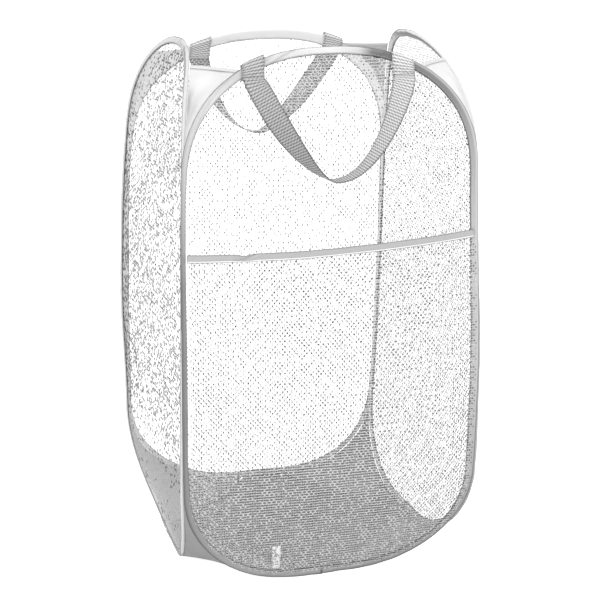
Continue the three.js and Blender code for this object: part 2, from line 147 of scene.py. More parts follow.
# The photographed view, for a square picture
CAMERA_PLACE = (-0.58043, -1.79501, 0.74167)
CAMERA_YAW, CAMERA_PITCH, CAMERA_ROLL = 0.31922, -0.23665, 0.02939
CAMERA_LENS, CAMERA_SENSOR = 96.955, 36.0


def size_property(name, description, default, least):
    return bpy.props.FloatProperty(
        name=name, description=description, default=default, min=least, unit="LENGTH",
    )


class HamperSizes(bpy.types.PropertyGroup):
    """Sizes of the cloth parts that a maker would change."""

    net_pitch: size_property(
        "Net pitch", "Distance between holes along a row of the knitted net", 0.0053, 0.002)
    net_row: size_property("Net row", "Distance between two rows of holes in the net", 0.0031, 0.001)
    net_hole: bpy.props.FloatProperty(
        name="Net hole", description="Width of a hole as a factor of its cell's width",
        default=0.87, min=0.3, max=0.95, subtype="FACTOR",
    )
    # The net's knots are beads of painted shade: dark dots that stand for the shading seen in its holes
    shade_dot_height: size_property("Knot height", "Height of a knot in the net's yarn", 0.0022, 0.0003)
    net_relief: size_property(
        "Yarn relief", "Height of the knitted yarn over the edge of a hole", 0.00016, 0.0)
    tape_thickness: size_property(
        "Tape thickness", "Thickness of the tape folded over each hoop", 0.0005, 0.0001)
    tape_reach: size_property(
        "Tape reach", "How far the tape reaches over the net from the hoop", 0.0074, 0.002)
    tape_lap: size_property("Tape lap", "How far the tape's end laps over its start", 0.024, 0.0)
    webbing_thickness: size_property(
        "Webbing thickness", "Thickness of the handles' webbing", 0.0012, 0.0005)
    stitch_pitch: size_property("Stitch pitch", "Distance from one stitch to the next", 0.0036, 0.001)
    stitch_length: size_property(
        "Stitch length", "Length of thread that shows in one stitch", 0.0026, 0.0005)
    thread_thickness: size_property(
        "Thread thickness", "Thickness of the sewing thread", 0.00042, 0.0001)


def colour_property(name, description, default):
    return bpy.props.FloatVectorProperty(
        name=name, description=description, default=default, subtype="COLOR",
        size=3, min=0.0, max=1.0,
    )


class HamperColours(bpy.types.PropertyGroup):
    """Colours of the hamper's cloth, thread and wire."""

    net: colour_property("Net", "Knitted polyester net", (0.93, 0.93, 0.93))
    tape: colour_property("Tape", "Tape folded over the hoops", (0.62, 0.62, 0.62))
    gusset: colour_property("Gusset", "Satin cloth in the corner gaps", (0.80, 0.80, 0.80))
    base: colour_property("Base", "Woven cloth of the base", (0.31, 0.31, 0.31))
    webbing: colour_property("Webbing", "Ribbed webbing of the handles", (0.40, 0.40, 0.40))
    label: colour_property("Label", "Blank sewn label", (0.90, 0.90, 0.90))
    thread: colour_property("Thread", "Sewing thread", (0.60, 0.60, 0.60))
    # Knots: near-black colour of the net's beads of painted shade, dots that stand for the shading seen
    # in its holes
    knot: colour_property("Knots", "Dark knots in the net's yarn", (0.05, 0.05, 0.05))
    steel: colour_property("Steel", "Spring steel of the hoops", (0.45, 0.45, 0.46))
    floor: colour_property("Floor", "Plain pale studio floor", (0.90, 0.90, 0.90))


# Shapes shared by the pieces
def superellipse(angle):
    """Points of the corner's curve, across and up as shares of its reach."""
    power = 2 / ROUNDNESS
    return np.clip(np.cos(angle), 0, 1) ** power, np.clip(np.sin(angle), 0, 1) ** power


def arc_angle(across_share):
    """The angle at which a corner's curve is a share of its reach across."""
    return math.acos(across_share ** (ROUNDNESS / 2))


def crown_share(z):
    """How far up the crown's curve a height lies: 0 where it starts and 1 at the wire's top."""
    return np.clip((np.asarray(z, float) - LEAN_START) / TOP_RISE, 0, OVERSHOOT)


def foot_share(z):
    """How far down the foot's curve a height lies: 0 where it starts and 1 at the wire's foot."""
    return np.clip((FOOT_END - np.asarray(z, float)) / FOOT_RISE, 0, OVERSHOOT)


def lean(z):
    """How far a panel leans into the hamper at a height, at its crown and at its foot."""
    return TOP_LEAN * crown_share(z) ** TOP_POWER + FOOT_LEAN * foot_share(z) ** FOOT_POWER


def lean_slope(z):
    """How fast a panel's lean grows with height."""
    crown = TOP_LEAN * TOP_POWER * crown_share(z) ** (TOP_POWER - 1) / TOP_RISE
    return crown - FOOT_LEAN * FOOT_POWER * foot_share(z) ** (FOOT_POWER - 1) / FOOT_RISE


def top_arc(half, angle):
    """Panel points of the crown's curve, from the straight side to the middle of the top."""
    across, up = superellipse(angle)
    return np.stack([half * across, LEAN_START + TOP_RISE * up], -1)


def foot_arc(half, angle):
    """Panel points of the foot's curve, from the straight side to the foot's straight run."""
    across, up = superellipse(angle)
    return np.stack([FOOT_RUN + (half - FOOT_RUN) * across, WIRE_LOW + FOOT_RISE * (1 - up)], -1)


def evenly(points, count):
    """The same open line, with its points evenly spaced."""
    steps = np.linalg.norm(np.diff(points, axis=0), axis=1)
    points = points[np.concatenate([[True], steps > SAME_POINT])]
    along = np.concatenate([[0], np.cumsum(np.linalg.norm(np.diff(points, axis=0), axis=1))])
    at = np.linspace(0, along[-1], count)
    return np.stack([np.interp(at, along, points[:, i]) for i in range(points.shape[1])], 1)


def hoop_line(half, count):
    """The hoop's wire line in its panel, once round from the middle of the foot."""
    angles = np.linspace(0, RIGHT_ANGLE, ARC_POINTS)
    right = np.concatenate([[[0, WIRE_LOW]], foot_arc(half, angles[::-1]), top_arc(half, angles)])
    left = right[::-1] * [-1, 1]
    return evenly(np.concatenate([right, left[1:]]), count + 1)[:-1]


def side_move(name, u, z):
    """How far a panel's points have moved to the right, from its two upright sides' moves."""
    share = np.clip(u / PANELS[name]["half"] / 2 + 0.5, 0, 1)
    start, end = (
        np.mean([np.interp(z + step, MOVE_HEIGHTS, moves) for step in MOVE_SOFTENING], axis=0)
        for moves in SIDE_MOVES[name]
    )
    return start * (1 - share) + end * share


def settle(points):
    """Moves points from the square hamper to the one that stands settled on its floor."""
    x, y, z = np.asarray(points, float).reshape(-1, 3).T
    across, deep = x / CAD_HALF_X, y / CAD_HALF_Y
    crown, foot = crown_share(z) ** 2, foot_share(z) ** 2
    up = z / HAMPER_TOP
    out = {n: -CROWN_LEANS[n] * crown - FOOT_LEANS[n] * foot for n in PANELS}
    shift = {n: CROWN_SHIFTS[n] * crown + FOOT_SHIFTS[n] * foot for n in PANELS}
    left, right = (1 - across) / 2, (1 + across) / 2
    front, rear = (1 - deep) / 2, (1 + deep) / 2
    move_x = out["right"] * right - out["left"] * left
    move_x += shift["front"] * front + shift["rear"] * rear + RACKING[0] * deep * up
    move_y = out["rear"] * rear - out["front"] * front
    move_y += shift["left"] * left + shift["right"] * right + RACKING[1] * across * up
    level, tilt_x, tilt_y, twist = CROWN_RISES
    rise = level + tilt_x * across + tilt_y * deep + twist * across * deep + SIDE_RISE * across ** 2
    return np.stack([x + move_x, y + move_y, z + up * rise], 1)


def square_place(name, points):
    """Points of a panel (along it, into the hamper, up) in the hamper before it settles."""
    panel = PANELS[name]
    u, y, z = np.asarray(points, float).reshape(-1, 3).T
    cos, sin = round(math.cos(panel["turn"] * RIGHT_ANGLE)), round(math.sin(panel["turn"] * RIGHT_ANGLE))
    across = panel["at"][0] + cos * u - sin * y + side_move(name, u, z)
    return np.stack([across, panel["at"][1] + sin * u + cos * y, z], 1)


def place(name, points):
    """Panel points, in an array of any shape, in the hamper that stands settled."""
    points = np.asarray(points, float)
    return settle(square_place(name, points)).reshape(points.shape)


def ripple(points, size, seed):
    """Smooth noise from about -1 to 1 at points, with ripples of about a size."""
    shift = Vector([seed * step for step in SEED_STEPS])
    return np.array([noise.noise(Vector(p) / size + shift) for p in points]) * NOISE_GAIN


# Meshes and pieces
def add_object(name, data):
    """An object in the scene for a mesh, a lamp or a camera."""
    made = bpy.data.objects.new(name, data)
    bpy.context.scene.collection.objects.link(made)
    return made


def make_object(name, vertices, faces, material, uv=None, smooth=True):
    """An object of a new mesh, with a UV place for each vertex where the cloth needs one."""
    mesh = bpy.data.meshes.new(name)
    mesh.from_pydata([tuple(v) for v in np.asarray(vertices, float)], [], faces)
    mesh.validate()
    if uv is not None:
        layer = mesh.uv_layers.new(name="UVMap")
        corners = np.zeros(len(mesh.loops), np.int32)
        mesh.loops.foreach_get("vertex_index", corners)
        layer.data.foreach_set("uv", np.asarray(uv, float)[corners].astype(np.float32).ravel())
    if smooth:
        smooth_faces(mesh)
    mesh.materials.append(material)
    return add_object(name, mesh)


def smooth_faces(mesh):
    mesh.polygons.foreach_set("use_smooth", [True] * len(mesh.polygons))


def grid_faces(rows, columns, ring_rows=False, ring_columns=False):
    """Faces between a grid's points; a direction that is a ring closes on its own start."""
    return [(i * columns + j, i * columns + (j + 1) % columns,
             (i + 1) % rows * columns + (j + 1) % columns, (i + 1) % rows * columns + j)
            for i in range(rows if ring_rows else rows - 1)
            for j in range(columns if ring_columns else columns - 1)]


def grid_uv(grid):
    """Distances along a grid's two directions, in metres, as its UV map."""
    rows, columns, _ = grid.shape
    along = np.concatenate([[0], np.cumsum(np.linalg.norm(np.diff(grid, axis=0), axis=2).mean(1))])
    over = np.concatenate([[0], np.cumsum(np.linalg.norm(np.diff(grid, axis=1), axis=2).mean(0))])
    return np.stack([np.tile(over, rows), np.repeat(along, columns)], 1)


def cloth_object(name, grid, material, thickness, uv=None):
    """A cloth over a grid of points, given its thickness by a modifier."""
    rows, columns, _ = grid.shape
    made = make_object(name, grid.reshape(-1, 3), grid_faces(rows, columns), material,
                       grid_uv(grid) if uv is None else uv)
    solid = made.modifiers.new("Thickness", "SOLIDIFY")
    solid.thickness = thickness
    solid.offset = 0
    solid.use_rim = True
    return made


def set_tone(made, tones, name="tone"):
    """A tone for each point of a cloth, which its material multiplies its colour by."""
    attribute = made.data.attributes.new(name, "FLOAT", "POINT")
    attribute.data.foreach_set("value", np.asarray(tones, np.float32))


def panel_frames(line):
    """Panel points of a closed line, with directions into the hamper and in from the hoop."""
    local = np.stack([line[:, 0], lean(line[:, 1]), line[:, 1]], 1)
    tangent = np.roll(local, -1, 0) - np.roll(local, 1, 0)
    tangent /= np.linalg.norm(tangent, axis=1)[:, None]
    slope = lean_slope(line[:, 1])
    normal = np.stack([np.zeros(len(line)), np.ones(len(line)), -slope], 1)
    normal /= np.linalg.norm(normal, axis=1)[:, None]
    return local, normal, np.cross(tangent, normal)


def swept_grid(path, across, normal, section):
    """Grid of points: a section of (across, normal) pairs, or one for each row, along a path."""
    return path[:, None] + across[:, None] * section[..., :1] + normal[:, None] * section[..., 1:]


# Node trees
FLOAT, VECTOR, COLOUR = "NodeSocketFloat", "NodeSocketVector", "NodeSocketColor"
GEOMETRY, MATERIAL = "NodeSocketGeometry", "NodeSocketMaterial"


def new_tree(name, kind, inputs, outputs):
    """An empty node tree, and the sockets that its inputs come from."""
    tree = bpy.data.node_groups.new(name, kind)
    for label, socket, value in inputs:
        made = tree.interface.new_socket(label, in_out="INPUT", socket_type=socket)
        if value is not None:
            made.default_value = value
    for label, socket in outputs:
        tree.interface.new_socket(label, in_out="OUTPUT", socket_type=socket)
    return tree, add_node(tree, "NodeGroupInput").outputs


def add_node(tree, kind, values=None, **settings):
    """A node with its settings, and its inputs joined to sockets or set to values."""
    node = tree.nodes.new(kind)
    for key, value in settings.items():
        setattr(node, key, value)
    for key, value in (values or {}).items():
        socket = node.inputs[key]
        if isinstance(value, bpy.types.NodeSocket):
            tree.links.new(value, socket)
        else:
            socket.default_value = value
    return node


def math_node(tree, operation, a, b=None, c=None):
    """The outcome of a sum on one to three values or sockets."""
    values = {i: v for i, v in enumerate((a, b, c)) if v is not None}
    return add_node(tree, "ShaderNodeMath", values, operation=operation).outputs[0]


def end_tree(tree, given, label, instances, near=None):
    """Ends a tree: instances made real, points merged that lie near, and the material set."""
    shape = add_node(tree, "GeometryNodeRealizeInstances", {"Geometry": instances}).outputs[0]
    if near is not None:
        shape = add_node(tree, "GeometryNodeMergeByDistance", {
            "Geometry": shape, "Distance": near,
        }).outputs[0]
    shape = add_node(tree, "GeometryNodeSetMaterial", {
        "Geometry": shape, "Material": given["Material"],
    }).outputs[0]
    add_node(tree, "NodeGroupOutput", {label: shape})
    return tree


def net_tree():
    """Knitted net: a six-sided ring of yarn on each point, joined where the rings touch."""
    tree, given = new_tree(
        "Knitted net", "GeometryNodeTree",
        [("Points", GEOMETRY, None), ("Pitch", FLOAT, 0.005), ("Row", FLOAT, 0.003),
         ("Hole", FLOAT, 0.8), ("Relief", FLOAT, 0.0002), ("Material", MATERIAL, None)],
        [("Net", GEOMETRY)],
    )
    sides, radii_in_row, radii_in_pitch, near_share = 6, 1.5, math.sqrt(3), 0.02
    disc = add_node(tree, "GeometryNodeMeshCircle", {"Vertices": sides, "Radius": 1.0}, fill_type="NGON")
    tall = math_node(tree, "DIVIDE", given["Row"], radii_in_row)
    wide = math_node(tree, "DIVIDE", given["Pitch"], radii_in_pitch)
    size = add_node(tree, "ShaderNodeCombineXYZ", {"X": tall, "Y": wide, "Z": 1.0})
    cell = add_node(tree, "GeometryNodeTransform", {
        "Geometry": disc.outputs["Mesh"], "Scale": size.outputs[0], "Rotation": (0, 0, RIGHT_ANGLE),
    })
    sunk = math_node(tree, "MULTIPLY", given["Relief"], -1.0)
    inset = add_node(tree, "GeometryNodeExtrudeMesh", {
        "Mesh": cell.outputs["Geometry"], "Offset Scale": sunk,
    }, mode="FACES")
    shrunk = add_node(tree, "GeometryNodeScaleElements", {
        "Geometry": inset.outputs["Mesh"], "Selection": inset.outputs["Top"], "Scale": given["Hole"],
    }, domain="FACE")
    ring = add_node(tree, "GeometryNodeDeleteGeometry", {
        "Geometry": shrunk.outputs["Geometry"], "Selection": inset.outputs["Top"],
    }, domain="FACE")
    rings = add_node(tree, "GeometryNodeInstanceOnPoints", {
        "Points": given["Points"], "Instance": ring.outputs["Geometry"],
    })
    near = math_node(tree, "MULTIPLY", given["Row"], near_share)
    return end_tree(tree, given, "Net", rings.outputs["Instances"], near)


def shade_dot_tree():
    """Knots of painted shade on a net: a small flattened bead on each point, a dark dot that stands for
    the shading in a hole.
    """
    tree, given = new_tree(
        "Net knots", "GeometryNodeTree",
        [("Points", GEOMETRY, None), ("Width", FLOAT, 0.001), ("Height", FLOAT, 0.002),
         ("Depth", FLOAT, 0.0004), ("Material", MATERIAL, None)],
        [("Knots", GEOMETRY)],
    )
    bead = add_node(tree, "GeometryNodeMeshUVSphere", {"Segments": 4, "Rings": 2, "Radius": 0.5})
    size = add_node(tree, "ShaderNodeCombineXYZ", {
        "X": given["Width"], "Y": given["Height"], "Z": given["Depth"],
    })
    beads = add_node(tree, "GeometryNodeInstanceOnPoints", {
        "Points": given["Points"], "Instance": bead.outputs["Mesh"], "Scale": size.outputs[0],
    })
    return end_tree(tree, given, "Knots", beads.outputs["Instances"])


def stitch_tree():
    """A row of stitches: a rounded thread at each step along a line."""
    tree, given = new_tree(
        "Stitch row", "GeometryNodeTree",
        [("Line", GEOMETRY, None), ("Pitch", FLOAT, 0.004), ("Length", FLOAT, 0.003),
         ("Thickness", FLOAT, 0.0004), ("Material", MATERIAL, None)],
        [("Stitches", GEOMETRY)],
    )
    line = add_node(tree, "GeometryNodeMeshToCurve", {"Mesh": given["Line"]})
    steps = add_node(tree, "GeometryNodeResampleCurve", {
        "Curve": line.outputs["Curve"], "Length": given["Pitch"],
    }, mode="LENGTH")
    thread = add_node(tree, "GeometryNodeMeshUVSphere", {"Segments": 6, "Rings": 5, "Radius": 1.0})
    radius = math_node(tree, "MULTIPLY", given["Thickness"], 0.5)
    reach = math_node(tree, "MULTIPLY", given["Length"], 0.5)
    size = add_node(tree, "ShaderNodeCombineXYZ", {"X": radius, "Y": radius, "Z": reach})
    tangent = add_node(tree, "GeometryNodeInputTangent").outputs[0]
    turn = add_node(tree, "FunctionNodeAlignRotationToVector", {"Vector": tangent}, axis="Z")
    threads = add_node(tree, "GeometryNodeInstanceOnPoints", {
        "Points": steps.outputs["Curve"], "Instance": thread.outputs["Mesh"],
        "Rotation": turn.outputs[0], "Scale": size.outputs[0],
    })
    return end_tree(tree, given, "Stitches", threads.outputs["Instances"])


def run_tree(name, tree, vertices, edges, values):
    """The plain mesh that a tree makes on a guide of points or lines."""
    guide_mesh = bpy.data.meshes.new(name + "_guide")
    guide_mesh.from_pydata([tuple(v) for v in vertices], edges, [])
    guide = add_object(name + "_guide", guide_mesh)
    modifier = guide.modifiers.new("Nodes", "NODES")
    modifier.node_group = tree
    for item in tree.interface.items_tree:
        if item.in_out == "INPUT" and item.name in values:
            modifier[item.identifier] = values[item.name]
    bpy.context.view_layer.update()
    evaluated = guide.evaluated_get(bpy.context.evaluated_depsgraph_get())
    made = bpy.data.meshes.new_from_object(evaluated)
    made.name = name
    guide.modifiers.remove(modifier)
    bpy.data.objects.remove(guide)
    bpy.data.meshes.remove(guide_mesh)
    if not made.vertices:
        raise RuntimeError(f"{name} came out empty")
    smooth_faces(made)
    return made


def tree_named(name, build):
    """The node tree of a name, built where it isn't there yet."""
    return bpy.data.node_groups.get(name) or build()


def stitch_rows(name, rows, body, thread="sewing_thread"):
    """One piece of stitches along several lines of world points."""
    sizes = bpy.context.scene.hamper_sizes
    vertices, edges = [], []
    for row in rows:
        start = len(vertices)
        vertices += [tuple(p) for p in row]
        edges += [(start + i, start + i + 1) for i in range(len(row) - 1)]
    mesh = run_tree(name, tree_named("Stitch row", stitch_tree), vertices, edges, {
        "Pitch": sizes.stitch_pitch, "Length": sizes.stitch_length,
        "Thickness": sizes.thread_thickness, "Material": material(thread),
    })
    made = add_object(name, mesh)
    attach(made, body)
    return made


# Materials
def weave_group():
    """Woven cloth: over and under threads as a height, and a mask of the gaps between them."""
    tree, given = new_tree(
        "Plain weave", "ShaderNodeTree",
        [("Vector", VECTOR, None), ("Threads", FLOAT, 900.0), ("Slub", FLOAT, 0.2)],
        [("Height", FLOAT), ("Gaps", FLOAT)],
    )
    slub_scale, thread_share, checker_share = 0.35, 0.7, 0.3
    scaled = add_node(tree, "ShaderNodeVectorMath", {
        0: given["Vector"], "Scale": given["Threads"],
    }, operation="SCALE").outputs[0]
    slub = add_node(tree, "ShaderNodeTexNoise", {"Vector": scaled, "Scale": slub_scale})
    part = add_node(tree, "ShaderNodeSeparateXYZ", {0: scaled}).outputs
    uneven = math_node(tree, "MULTIPLY", slub.outputs["Fac"], given["Slub"])
    waves, sides = [], []
    for axis in (0, 1):
        shifted = math_node(tree, "ADD", part[axis], uneven)
        turn = math_node(tree, "MULTIPLY", shifted, math.pi)
        waves.append(math_node(tree, "ABSOLUTE", math_node(tree, "SINE", turn)))
        sides.append(math_node(tree, "COSINE", math_node(tree, "MULTIPLY", part[axis], math.pi)))
    checker = math_node(tree, "MULTIPLY", *sides)
    height = math_node(tree, "MULTIPLY_ADD", math_node(tree, "MULTIPLY", *waves), thread_share,
                       math_node(tree, "MULTIPLY", checker, checker_share))
    gaps = math_node(tree, "SUBTRACT", 1.0, math_node(tree, "MAXIMUM", *waves))
    add_node(tree, "NodeGroupOutput", {"Height": height, "Gaps": gaps})
    return tree


def cloudy_group():
    """Colour that drifts over a cloth: broad patches and small flecks round one colour."""
    tree, given = new_tree(
        "Cloudy colour", "ShaderNodeTree",
        [("Vector", VECTOR, None), ("Colour", COLOUR, (0.5, 0.5, 0.5, 1)),
         ("Amount", FLOAT, 0.08), ("Tone", FLOAT, 1.0)],
        [("Colour", COLOUR)],
    )
    patches_a_metre, flecks_a_metre = 9.0, 420.0
    broad, flecks = (
        add_node(tree, "ShaderNodeTexNoise", {
            "Vector": given["Vector"], "Scale": scale, "Detail": detail,
        })
        for scale, detail in ((patches_a_metre, 3.0), (flecks_a_metre, 2.0))
    )
    cloud = math_node(tree, "ADD", broad.outputs["Fac"], flecks.outputs["Fac"])
    centred = math_node(tree, "SUBTRACT", cloud, 1.0)
    gain = math_node(tree, "MULTIPLY_ADD", centred, given["Amount"], 1.0)
    toned = math_node(tree, "MULTIPLY", gain, given["Tone"])
    tinted = add_node(tree, "ShaderNodeVectorMath", {
        0: given["Colour"], "Scale": toned,
    }, operation="SCALE")
    add_node(tree, "NodeGroupOutput", {"Colour": tinted.outputs[0]})
    return tree


def flecks_group():
    """Tone of a net's yarn: dark flecks in a share of small cells."""
    tree, given = new_tree(
        "Flecks", "ShaderNodeTree",
        [("Vector", VECTOR, None), ("Cells", FLOAT, 600.0), ("Share", FLOAT, 0.1)],
        [("Tone", FLOAT)],
    )
    least_depth, more_depth = 0.2, 0.55
    cells = add_node(tree, "ShaderNodeTexVoronoi", {"Vector": given["Vector"], "Scale": given["Cells"]})
    chance = add_node(tree, "ShaderNodeSeparateColor", {0: cells.outputs["Color"]}).outputs
    picked = math_node(tree, "LESS_THAN", chance[0], given["Share"])
    depth = math_node(tree, "MULTIPLY_ADD", chance[1], more_depth, least_depth)
    dark = math_node(tree, "MULTIPLY", picked, depth)
    add_node(tree, "NodeGroupOutput", {"Tone": math_node(tree, "SUBTRACT", 1.0, dark)})
    return tree


def attribute_node(tree, name):
    """The value that a cloth's own attribute has at each point."""
    return add_node(tree, "ShaderNodeAttribute", attribute_name=name).outputs["Fac"]


def outlined(tree, depth):
    """Painted shade: a tone that falls where a cloth turns away from the eye, past its own edge
    attribute, drawing a dark outline.
    """
    dark_share = 0.7
    facing = add_node(tree, "ShaderNodeLayerWeight", {"Blend": 0.5}).outputs["Facing"]
    square = math_node(tree, "SUBTRACT", 1.0, facing)
    edge = attribute_node(tree, "edge")
    fall = add_node(tree, "ShaderNodeMapRange", {
        "Value": square, "From Min": math_node(tree, "MULTIPLY", edge, dark_share), "From Max": edge,
        "To Min": 1.0 - depth, "To Max": 1.0,
    }, interpolation_type="SMOOTHSTEP")
    return fall.outputs[0]


def group_node(tree, name, build, values):
    """Outputs of a shader group that is placed in a material with its own values."""
    return add_node(tree, "ShaderNodeGroup", values, node_tree=tree_named(name, build)).outputs


def start_material(name, colour, roughness, metallic=0.0, sheen=0.0):
    """A new material, its tree, its shader and the coordinates of its texture."""
    if name in bpy.data.materials:
        raise RuntimeError(f"there is already a material {name}")
    made = bpy.data.materials.new(name)
    made.use_nodes = True
    made.diffuse_color = (*colour, 1)
    tree = made.node_tree
    shader = tree.nodes["Principled BSDF"]
    shader.inputs["Roughness"].default_value = roughness
    shader.inputs["Metallic"].default_value = metallic
    if sheen:
        shader.inputs["Sheen Weight"].default_value = sheen
        shader.inputs["Sheen Roughness"].default_value = 0.5
    return made, tree, shader, add_node(tree, "ShaderNodeTexCoord").outputs


def finish_surface(tree, shader, where, colour, clouds, height, depth, tone=1.0):
    """Joins a surface's colour, which drifts by a share and is times a tone, and its relief."""
    cloudy = group_node(tree, "Cloudy colour", cloudy_group, {
        "Vector": where, "Colour": (*colour, 1), "Amount": clouds, "Tone": tone,
    })
    tree.links.new(cloudy["Colour"], shader.inputs["Base Color"])
    relief = add_node(tree, "ShaderNodeBump", {"Height": height, "Distance": depth})
    tree.links.new(relief.outputs["Normal"], shader.inputs["Normal"])


def cloth_material(name, colour, roughness, threads, depth, clouds, sheen=0.0, shade_outline=0.0):
    """Woven cloth on its own UV map, with its tone attribute and an optional outline of painted shade."""
    _, tree, shader, coordinates = start_material(name, colour, roughness, sheen=sheen)
    gap_tone = -0.25
    weave = group_node(tree, "Plain weave", weave_group, {
        "Vector": coordinates["UV"], "Threads": threads,
    })
    dark = math_node(tree, "MULTIPLY_ADD", weave["Gaps"], gap_tone, 1.0)
    tones = math_node(tree, "MULTIPLY", dark, attribute_node(tree, "tone"))
    if shade_outline:
        tones = math_node(tree, "MULTIPLY", tones, outlined(tree, shade_outline))
    finish_surface(tree, shader, coordinates["Object"], colour, clouds, weave["Height"], depth, tones)


def net_material(name, colour, share):
    """Knitted yarn with dark flecks in a share of its length."""
    roughness, sheen, yarns_a_metre, yarn_depth, clouds = 0.75, 0.1, 2600.0, 0.00012, 0.05
    _, tree, shader, coordinates = start_material(name, colour, roughness, sheen=sheen)
    where = coordinates["Object"]
    flecks = group_node(tree, "Flecks", flecks_group, {"Vector": where, "Share": share})
    yarn = add_node(tree, "ShaderNodeTexNoise", {"Vector": where, "Scale": yarns_a_metre, "Detail": 1.0})
    finish_surface(tree, shader, where, colour, clouds, yarn.outputs["Fac"], yarn_depth, flecks["Tone"])


def webbing_material(name, colour):
    """Twill webbing: slanting ribs across the band, times its tone attribute."""
    roughness, sheen = 0.8, 0.15
    _, tree, shader, coordinates = start_material(name, colour, roughness, sheen=sheen)
    ribs_a_metre, twill_a_metre, yarns_a_metre = 320.0, 230.0, 650.0
    twill_share, yarn_share, rib_tone, rib_depth, clouds = 0.45, 2.4, 0.42, 0.00018, 0.16
    part = add_node(tree, "ShaderNodeSeparateXYZ", {0: coordinates["UV"]}).outputs
    slant = math_node(tree, "ADD", part[0], part[1])
    ribs = math_node(tree, "SINE", math_node(tree, "MULTIPLY", part[1], ribs_a_metre * math.tau))
    twill = math_node(tree, "SINE", math_node(tree, "MULTIPLY", slant, twill_a_metre * math.tau))
    yarns = add_node(tree, "ShaderNodeTexNoise", {
        "Vector": coordinates["UV"], "Scale": yarns_a_metre, "Detail": 1.0,
    })
    uneven = math_node(tree, "MULTIPLY_ADD", yarns.outputs["Fac"], yarn_share, -yarn_share / 2)
    height = math_node(tree, "MULTIPLY_ADD", twill, twill_share, ribs)
    tone = math_node(tree, "MULTIPLY_ADD", math_node(tree, "ADD", height, uneven), rib_tone, 1.0)
    tones = math_node(tree, "MULTIPLY", tone, attribute_node(tree, "tone"))
    finish_surface(tree, shader, coordinates["Object"], colour, clouds, height, rib_depth, tones)


def plain_material(name, colour, roughness, metallic=0.0):
    """Thread or steel of one colour with a fine grain."""
    _, tree, shader, coordinates = start_material(name, colour, roughness, metallic)
    where = coordinates["Object"]
    grains_a_metre, grain_depth, clouds = 900.0, 0.00005, 0.08
    grains = add_node(tree, "ShaderNodeTexNoise", {"Vector": where, "Scale": grains_a_metre})
    finish_surface(tree, shader, where, colour, clouds, grains.outputs["Fac"], grain_depth)


# The webbing's thread is this much as bright as its band
WEBBING_THREAD_SHARE = 0.9


def build_materials():
    colours = bpy.context.scene.hamper_colours
    # The net's dark flecks and its near-black knot beads are painted shade: dots that stand for the
    # shading seen in the net's holes
    net_material("knitted_net", colours.net, share=0.08)
    net_material("net_shade_dots", colours.knot, share=0.5)
    # The tape's dark outline where it turns away from the eye is painted shade
    cloth_material("folded_tape", colours.tape, roughness=0.6, threads=1400.0, depth=0.00008,
                   clouds=0.08, sheen=0.15, shade_outline=0.72)
    cloth_material("gusset_satin", colours.gusset, roughness=0.45, threads=2200.0, depth=0.00004,
                   clouds=0.05, sheen=0.2)
    cloth_material("base_weave", colours.base, roughness=0.8, threads=1300.0, depth=0.0001, clouds=0.14)
    net_material("label_satin", colours.label, share=0.35)
    webbing_material("ribbed_webbing", colours.webbing)
    plain_material("sewing_thread", colours.thread, roughness=0.7)
    darker = [WEBBING_THREAD_SHARE * v for v in colours.webbing]
    plain_material("webbing_thread", darker, roughness=0.7)
    plain_material("wire_steel", colours.steel, roughness=0.35, metallic=1.0)


def material(name):
    """A material that the materials step has made."""
    found = bpy.data.materials.get(name)
    if found is None:
        raise RuntimeError(f"the material {name} isn't made yet")
    return found


# Hoops

# Spring wire, and the crimped sleeve that joins its ends: (share of its half length, radius)
WIRE_RADIUS, WIRE_STEPS, WIRE_SIDES = 0.0012, 240, 10
CRIMP_RADIUS, CRIMP_HALF, CRIMP_SIDES = 0.0019, 0.008, 16
CRIMP_MOUTH, CRIMP_WAIST = WIRE_RADIUS * 1.1, CRIMP_RADIUS * 0.93
CRIMP_PROFILE = (
    (-1, CRIMP_MOUTH), (-1, CRIMP_RADIUS), (-0.3, CRIMP_WAIST),
    (0.3, CRIMP_WAIST), (1, CRIMP_RADIUS), (1, CRIMP_MOUTH),
)


def build_wire(name):
    """Spring wire of one hoop, with its crimped sleeve at the middle of the foot."""
    line = hoop_line(PANELS[name]["half"], WIRE_STEPS)
    local, normal, across = (a[1:] for a in panel_frames(line))
    angles = np.linspace(0, math.tau, WIRE_SIDES + 1)[:-1]
    section = np.stack([np.cos(angles), np.sin(angles)], 1) * WIRE_RADIUS
    grid = place(name, swept_grid(local, across, normal, section))
    rows, columns, _ = grid.shape
    faces = grid_faces(rows, columns, ring_columns=True)
    faces += [tuple(range(columns))[::-1], tuple((rows - 1) * columns + j for j in range(columns))]
    wire = make_object(f"{name}_spring_wire", grid.reshape(-1, 3), faces, material("wire_steel"))
    ring = np.linspace(0, math.tau, CRIMP_SIDES, endpoint=False)
    points = [(CRIMP_HALF * share, FOOT_LEAN + r * math.cos(a), WIRE_LOW + r * math.sin(a))
              for share, r in CRIMP_PROFILE for a in ring]
    faces = grid_faces(len(CRIMP_PROFILE), CRIMP_SIDES, ring_rows=True, ring_columns=True)
    sleeve = make_object(f"{name}_crimped_sleeve", place(name, points), faces, material("wire_steel"))
    for made, node in ((wire, "wire_hoop"), (sleeve, "wire_ferrule")):
        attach(made, PANELS[name]["body"])
        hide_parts(f"{name}_{node}")
